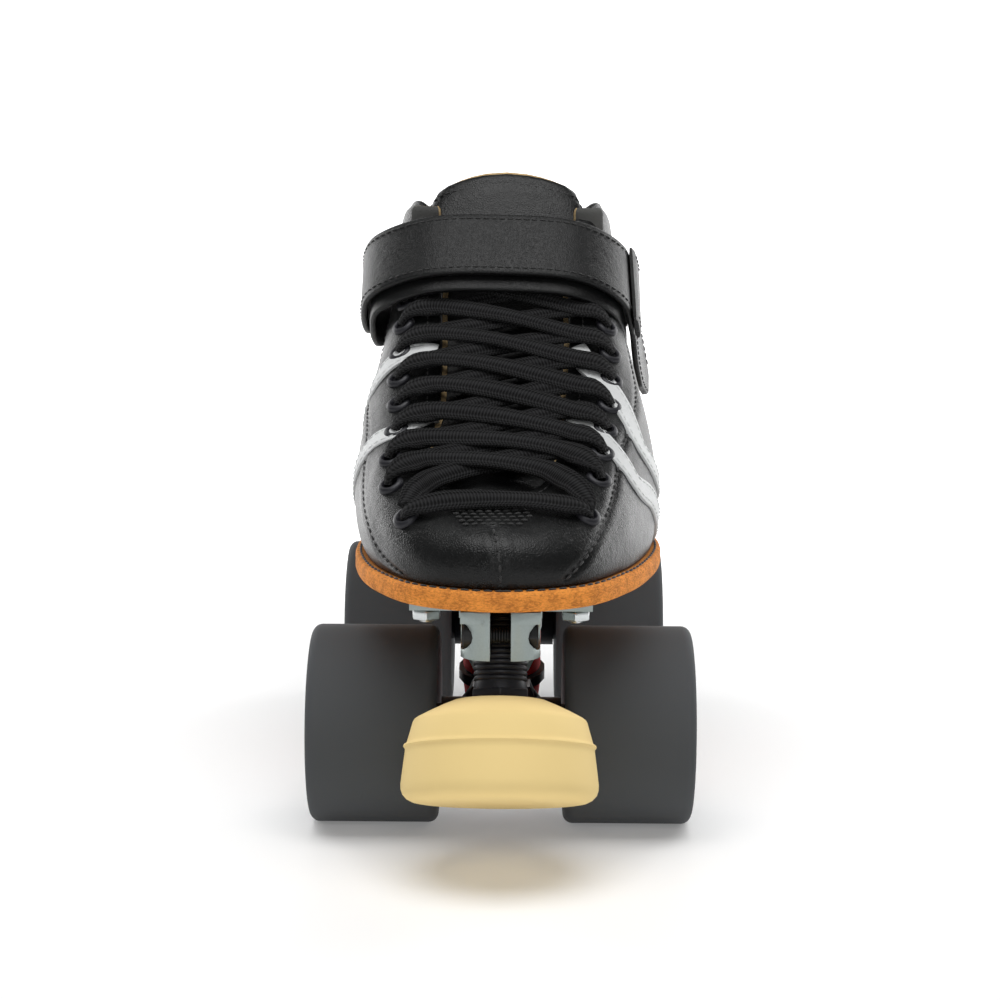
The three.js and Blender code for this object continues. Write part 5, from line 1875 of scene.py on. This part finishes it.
@dataclass
class Truck:
    """One truck: hanger and axle, and the kingpin stack that carries it."""

    end: str
    body: Body
    axle: np.ndarray
    turn: int
    ring: Point = (0, 22, 12)
    pivot: Point = (0, -20, 29)
    tilt: float = math.radians(10)
    cushion_radius: float = 12.5
    ring_half: float = 1.6
    axle_half: float = 59.1
    wheel_from_middle: float = 39.5

    def __post_init__(self) -> None:
        """Finds the kingpin's direction and the middle of the hanger's ring."""
        self.up = self.way((0, -math.sin(self.tilt), math.cos(self.tilt)))
        self.middle = self.spot(self.ring)

    def spot(self, point: Point) -> np.ndarray:
        """A point of the truck, counted from its axle's middle, in the skate's frame."""
        return self.axle + self.way(point)

    def way(self, direction: Point) -> np.ndarray:
        """A direction of the truck in the skate's frame."""
        x, y, z = direction
        return np.array([self.turn * x, self.turn * y, z], float)

    def piece(
        self, name: str, shape: Shape, finish: Finish, slot: Slot, node: str, body: Body | None = Body.BOOT,
    ) -> bpy.types.Object:
        """A piece of this truck, which stands for one frame node of it."""
        rides = body.value if body else None
        return make_piece(f"{self.end}_{name}", shape, (finish,), slot, (f"{self.end}_{node}",), body=rides)

    def on_kingpin(self, profile: Profile, steps: int = 56) -> Shape:
        """A profile along the kingpin, spun about it."""
        return spun(profile, steps, self.middle, self.up)

    def kingpin(self) -> None:
        """Makes the kingpin, its washer and its nut."""
        pin = [
            (0, -23.9), (4.2, -23.9), *threaded(4.75, -23.4, -14, 1.25), (4.75, -13.8), (4.75, 25.2),
            (4.4, 25.6), (0, 25.6),
        ]
        self.piece("kingpin_shaft", self.on_kingpin(pin), STEEL, Slot.STEEL, "kingpin")
        washer = [(5.05, -15.1), (11.6, -15.1), (12, -14.8), (12, -13.9), (11.6, -13.6), (5.05, -13.6)]
        self.piece("cup_washer", self.on_kingpin(washer), STEEL, Slot.STEEL, "cushion_washer")
        collar = self.on_kingpin([(4.9, -23.2), (6.4, -23.2), (6.9, -22.6), (7.1, -21.6), (4.9, -21.6)], 40)
        nut = joined([hexagon(8, -21.9, -15.4, self.middle, self.up), collar])
        self.piece("kingpin_locknut", nut, STEEL, Slot.STEEL, "kingpin_nut")

    def cushions(self) -> None:
        """Makes the two cushions, each squeezed between the plate's side and the hanger's ring."""
        r = self.cushion_radius
        upper = [
            (5.05, 1.8), (11.4, 1.8), (12.2, 2.1), (r, 2.8), (r, 6.2), (12.45, 7.8), (12.1, 8.5), (11.5, 8.92),
            (12.1, 9.35), (12.45, 10.0), (r, 11), (r, 13.8), (12.3, 14.7), (11.7, 15.2), (10.9, 15.3),
            (5.05, 15.3),
        ]
        lower = [
            (5.05, -13.3), (9.3, -13.3), (10.2, -12.9), (11, -11.6), (11.8, -9), (12.3, -5), (12.4, -2.8),
            (12.1, -2.1), (11.4, -1.8), (5.05, -1.8),
        ]
        for name, profile, fixed, moving in (("upper", upper, 15.3, 1.8), ("lower", lower, -13.3, -1.8)):
            shape = self.on_kingpin(profile, 72)
            cushion = self.piece(f"{name}_bushing", shape, CUSHION, Slot.CUSHION, f"{name}_cushion", None)
            points = [tuple((self.middle + self.up * height) * MM) for height in (fixed, moving)]
            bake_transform(cushion)

    def build(self) -> None:
        """Makes the truck's pieces and its two wheels."""
        thin, reach = self.ring_half, self.ring_half + 4
        spare = [
            self.on_kingpin([(0, side * thin), (14.6, side * thin), (14.6, side * reach), (0, side * reach)], 40)
            for side in (-1, 1)
        ]
        arm = softened(f"{self.end}_hanger", 0.5, spare)
        self.piece("hanger_arm", arm, BLACK_METAL, Slot.BLACK_METAL, "hanger", self.body)
        self.kingpin()
        self.cushions()
        steer = unit(self.way(np.subtract(self.pivot, self.ring)))
        cup = [
            (0, 4.5), (4.95, 4.5), (4.95, -4.7), (5.3, -5), (7.0, -5), (7.5, -4.5), (7.5, 5.6), (7.1, 6),
            (0, 6),
        ]
        self.piece("cup", spun(cup, 48, self.spot(self.pivot), steer), BLACK_NYLON, Slot.CUP, "pivot_cup")
        half = self.axle_half
        threads = threaded(4, half - 9, half - 0.8, 1.0)
        shaft = [(0, half), (3.2, half), *reversed(threads), (4, 49.8)]
        shaft += [(radius, -d) for radius, d in reversed(shaft)]
        rod = spun(shaft, 32, self.axle, (1, 0, 0))
        self.piece("axle_rod", rod, TURNED_STEEL, Slot.STEEL, "axle", self.body)
        for side, sign in (("outer", 1), ("inner", -1)):
            facing = (sign, 0, 0)
            collar = [(4.1, 57.2), (5.6, 57.2), (5.5, 58.0), (5.1, 58.3), (4.1, 58.3)]
            lip = spun(collar, 36, self.axle, facing)
            nut = joined([hexagon(6.8, 52.8, 57.6, self.axle, facing), lip])
            self.piece(f"{side}_locknut", nut, BLACK_METAL, Slot.BLACK_METAL, f"{side}_axle_nut", self.body)
            Wheel(f"{self.end}_{side}", self.axle + (sign * self.wheel_from_middle, 0, 0), sign).build()


@dataclass
class Wheel:
    """One wheel: its tyre, cored hub and two shielded bearings."""

    name: str
    centre: np.ndarray
    sign: int
    ribs: int = 12
    rib_size: Point = (4.6, 6.4, 1.7)
    rib_out: float = 10.9
    rib_radius: float = 15.3
    steps: int = 120
    shield: tuple[float, float, float] = (6.3, 9.3, 12.3)

    def part(
        self, name: str, bm: Shape, finishes: Sequence[Finish], slot: Slot, node: str, sharp: float = 30,
    ) -> None:
        """A piece that turns with the wheel."""
        rides = f"{self.name}_wheel"
        make_piece(f"{self.name}_{name}", bm, finishes, slot, (f"{self.name}_{node}",), sharp, rides)

    def rib(self, angle: float, face: int) -> Shape:
        """One radial rib in the hub's face.

        Args:
            angle: where round the axle.
            face: 1 for the face towards +X and -1 for the other.

        Returns:
            The closed shape.
        """
        bm = bmesh.new()
        bmesh.ops.create_cube(bm, size=1, matrix=Matrix.Diagonal((*self.rib_size, 1)))
        broken(bm, bm.edges[:], 0.45)
        radial = self.rib_radius * np.array([0, math.cos(angle), math.sin(angle)])
        middle = self.centre + radial + (face * self.rib_out, 0, 0)
        turn = Matrix.Rotation(angle, 4, "X")
        bmesh.ops.transform(bm, matrix=Matrix.Translation(Vector(middle)) @ turn, verts=bm.verts[:])
        return bm

    def shielded(self, radius: float, distance: float) -> int:
        """A bearing face's finish number: 1 for the shield between the races."""
        low, high, depth = self.shield
        return 1 if distance > depth and low < radius < high else 0

    def build(self) -> None:
        """Makes the wheel's pieces."""
        arc = [(28 + 3 * math.cos(t), 17 + 3 * math.sin(t)) for t in np.linspace(0, math.pi / 2, 8)]
        side = [*arc, (26.2, 19.9), (24.2, 19.45), (23.7, 19.1), (22.2, 18.0), (21.6, 17.3), (21.3, 16.6)]
        tread = [(31, x) for x in np.linspace(-15.5, 15.5, 9)]
        profile = [*[(r, -x) for r, x in reversed(side)], *tread, *side]
        tyre = spun(profile, self.steps, self.centre, (1, 0, 0))
        self.part("tread", tyre, (TYRE,), Slot.TYRE, "tyre", 50)
        core = [
            (11.3, 5.7), (11.3, 13.3), (11.6, 13.8), (12.8, 13.8), (13.1, 13.4), (13.3, 9.4), (17.5, 9.4),
            (17.9, 13.4), (18.6, 14.1), (19.4, 16.2), (19.9, 16.5), (20.7, 16.5), (21, 16.2),
        ]
        hub = [(7.2, -5.7), *[(r, -x) for r, x in core], *reversed(core), (7.2, 5.7)]
        shapes = [spun(hub, self.steps // 2, self.centre, (1, 0, 0))]
        turns = np.arange(self.ribs) * 2 * math.pi / self.ribs
        shapes += [self.rib(angle, face) for angle in turns for face in (-1, 1)]
        self.part("core", joined(shapes), (HUB_NYLON,), Slot.HUB, "hub")
        race = [
            (4.25, 6.2), (4.5, 6), (10.8, 6), (11, 6.2), (11, 12.7), (10.7, 13), (9.5, 13), (9.3, 12.5),
            (6.3, 12.5), (6.1, 13), (4.5, 13), (4.25, 12.8),
        ]
        for name, face in (("inboard", -self.sign), ("outboard", self.sign)):
            shape = spun(race, 48, self.centre, (face, 0, 0), self.shielded)
            self.part(f"races_{name}", shape, (TURNED_STEEL, BLACK_NYLON), Slot.STEEL, f"bearing_{name}")


@dataclass
class ToeStop:
    """The urethane pad on its threaded stem."""

    forward: float = 50.0
    top: float = 50.5
    tilt: float = math.radians(20)

    def build(self) -> None:
        """Makes the pad and the stem."""
        at = (0, FRONT_AXLE[1] - self.forward, self.top)
        down = (0, -math.sin(self.tilt), -math.cos(self.tilt))
        profile = [
            (0, 18.3), (8.2, 18.3), (8.2, 0.4), (8.6, 0), (12.4, 0), (13.6, 0.25), (17, 1.7), (21, 3.6),
            (24.2, 5.3), (25.1, 5.95), (25.5, 6.7), (26.3, 9.6), (26.95, 11.9), (27.15, 12.6), (27.5, 13.0),
            (28.0, 13.3), (28.15, 13.7), (27.9, 14.1), (27.6, 14.5), (27.75, 16), (28.3, 20.5), (28.75, 24.6),
            (28.7, 26.1), (28.2, 27.6), (27, 28.9), (25.4, 29.7), (23.6, 30), (12, 30), (0, 30),
        ]
        pad, rides = spun(profile, 128, at, down), Body.TOE_STOP.value
        make_piece("stopper_pad", pad, (PAD,), Slot.PAD, ("toe_stop_pad",), 50, rides)
        threads = threaded(7.9, -23.4, -3.4, 1.55)
        stem = [(0, -24), (6.9, -24), *threads, (7.9, -2.9), (7.9, 17.6), (7.3, 18), (0, 18)]
        shape = joined([spun(stem, 72, at, down), hexagon(9.3, -2.9, -0.3, at, down)])
        make_piece("stopper_stem", shape, (BLACK_METAL,), Slot.BLACK_METAL, ("toe_stop_stem",), 24, rides)


# ---- The studio ------------------------------------------------------------------------------


@dataclass(frozen=True)
class Softbox:
    """A rectangular lamp that faces the skate."""

    name: str
    place: Point
    size: tuple[float, float]
    power: float


@dataclass
class Studio:
    """The pale floor that glows as painted light, the plain light and the camera."""

    camera_place: Point = (0.00383, -0.74323, 0.20426)
    lens: float = 80.18
    pitch: float = math.radians(8.471)
    yaw: float = math.radians(-0.385)
    roll: float = math.radians(0.347)
    sky: float = 0.16
    floor_size: float = 8.0
    # The floor's painted glow next to the skate, kept low as painted shade round the skate.
    floor_glow_near_skate: float = 0.18
    backdrop_bend: float = 0.8
    backdrop_turn: float = 1.2
    level_share: float = 0.6
    aim: Point = (0, 0, 0.1)
    boxes: tuple[Softbox, ...] = (
        Softbox("top_box", (0, -0.3, 1.3), (1.2, 0.8), 14),
        Softbox("left_box", (-0.75, 0.65, 0.4), (0.5, 0.9), 3.6),
        Softbox("right_box", (0.75, 0.65, 0.4), (0.5, 0.9), 4.4),
        Softbox("front_box", (0.1, -1.3, 0.7), (0.5, 0.2), 2.4),
    )

    def floor(self) -> None:
        """A floor that bends up into a pale backdrop far behind the skate, and glows as painted light: dimly
        near the skate, as painted shade round it, and brightly far away.
        """
        half, bend, share = self.floor_size / 2, self.backdrop_bend, self.level_share
        level = (1 + share) * half

        def place(a: np.ndarray, b: np.ndarray) -> np.ndarray:
            """The sweep in millimetres: level, then up.

            Args:
                a: shares along.
                b: shares round.

            Returns:
                The points.
            """
            run = b * 2 * half
            turn = (run - level) / bend * self.backdrop_turn
            y = np.where(run < level, run - half, share * half + np.sin(turn) * bend)
            z = np.where(run < level, 0, bend * (1 - np.cos(turn)))
            return np.stack([(a - 0.5) * 2 * half, y, z], axis=1) / MM

        bm = bmesh.new()
        bmesh.ops.create_grid(bm, x_segments=4, y_segments=60, size=0.5)
        shares = np.array([v.co[:2] for v in bm.verts]) + 0.5
        for vert, spot in zip(bm.verts, place(shares[:, 0], shares[:, 1])):
            vert.co = spot
        bmesh.ops.recalc_face_normals(bm, faces=bm.faces[:])
        bmesh.ops.scale(bm, vec=(MM,) * 3, verts=bm.verts[:])
        mesh = bpy.data.meshes.new("floor")
        bm.to_mesh(mesh)
        bm.free()
        shader = Shader("glowing_floor")
        at = shader.place()
        cloud = shader.noise(at, 3, 2)
        colour = shader.mix(cloud, (0.78, 0.78, 0.78), (0.82, 0.82, 0.82))
        shader.finish(colour, 0.5 + 0.1 * cloud, shader.noise(at, 900, 3), 0.01, Specular_IOR_Level=0.2)
        # Painted light: the floor glows, dimly near the skate as painted shade round it and brightly far from
        # it, and lights the skate from below.
        x, y, _ = shader.axes(at)
        far = shader.step((x * x + (y + 0.1) * (y + 0.1)) ** 0.5, 0.3, 0.75)
        glow = shader.mix(far, (self.floor_glow_near_skate,) * 3, (1.15, 1.15, 1.15))
        shader.tree.links.new(glow.socket, shader.surface.inputs["Emission Color"])
        shader.surface.inputs["Emission Strength"].default_value = 1.0
        mesh.materials.append(shader.material)
        mesh.shade_smooth()
        floor = bpy.data.objects.new("floor", mesh)
        bpy.context.scene.collection.objects.link(floor)

    def light(self) -> None:
        """The white surroundings and the softboxes."""
        world = bpy.data.worlds.new("studio")
        world.use_nodes = True
        background = world.node_tree.nodes["Background"]
        background.inputs["Color"].default_value = (1, 1, 1, 1)
        background.inputs["Strength"].default_value = self.sky
        bpy.context.scene.world = world
        for box in self.boxes:
            lamp = bpy.data.lights.new(box.name, "AREA")
            lamp.shape = "RECTANGLE"
            lamp.size, lamp.size_y = box.size
            lamp.energy = box.power
            made = bpy.data.objects.new(box.name, lamp)
            made.location = box.place
            facing = Vector(self.aim) - Vector(box.place)
            made.rotation_euler = facing.to_track_quat("-Z", "Y").to_euler()
            bpy.context.scene.collection.objects.link(made)

    def look(self) -> None:
        """The camera, level with the skate and in front of its toe."""
        lens = bpy.data.cameras.new("camera")
        lens.lens = self.lens
        lens.sensor_width = 36
        lens.clip_start = 0.05
        level = math.cos(self.pitch)
        ahead = Vector((math.sin(self.yaw) * level, math.cos(self.yaw) * level, -math.sin(self.pitch)))
        right = ahead.cross(Vector((0, 0, 1))).normalized()
        up = right.cross(ahead)
        across = right * math.cos(self.roll) + up * math.sin(self.roll)
        above = up * math.cos(self.roll) - right * math.sin(self.roll)
        columns = (across, above, -ahead, Vector(self.camera_place))
        camera = bpy.data.objects.new("camera", lens)
        camera.matrix_world = Matrix([[column[row] for column in columns] for row in range(3)] + [[0, 0, 0, 1]])
        bpy.context.scene.collection.objects.link(camera)
        bpy.context.scene.camera = camera
        bpy.context.scene.view_settings.view_transform = "Standard"

    def build(self) -> None:
        """Sets the studio up."""
        self.floor()
        self.light()
        self.look()


def main() -> None:
    """Builds the skate and the studio."""
    assemblies = (
        Upper(), Tongue(), Lacing(), Strap(), Footing(), Plate(),
        Truck("front", Body.FRONT_TRUCK, FRONT_AXLE, 1), Truck("rear", Body.REAR_TRUCK, REAR_AXLE, -1),
        ToeStop(), Studio(),
    )
    for assembly in assemblies:
        assembly.build()


if __name__ == "__main__":
    main()
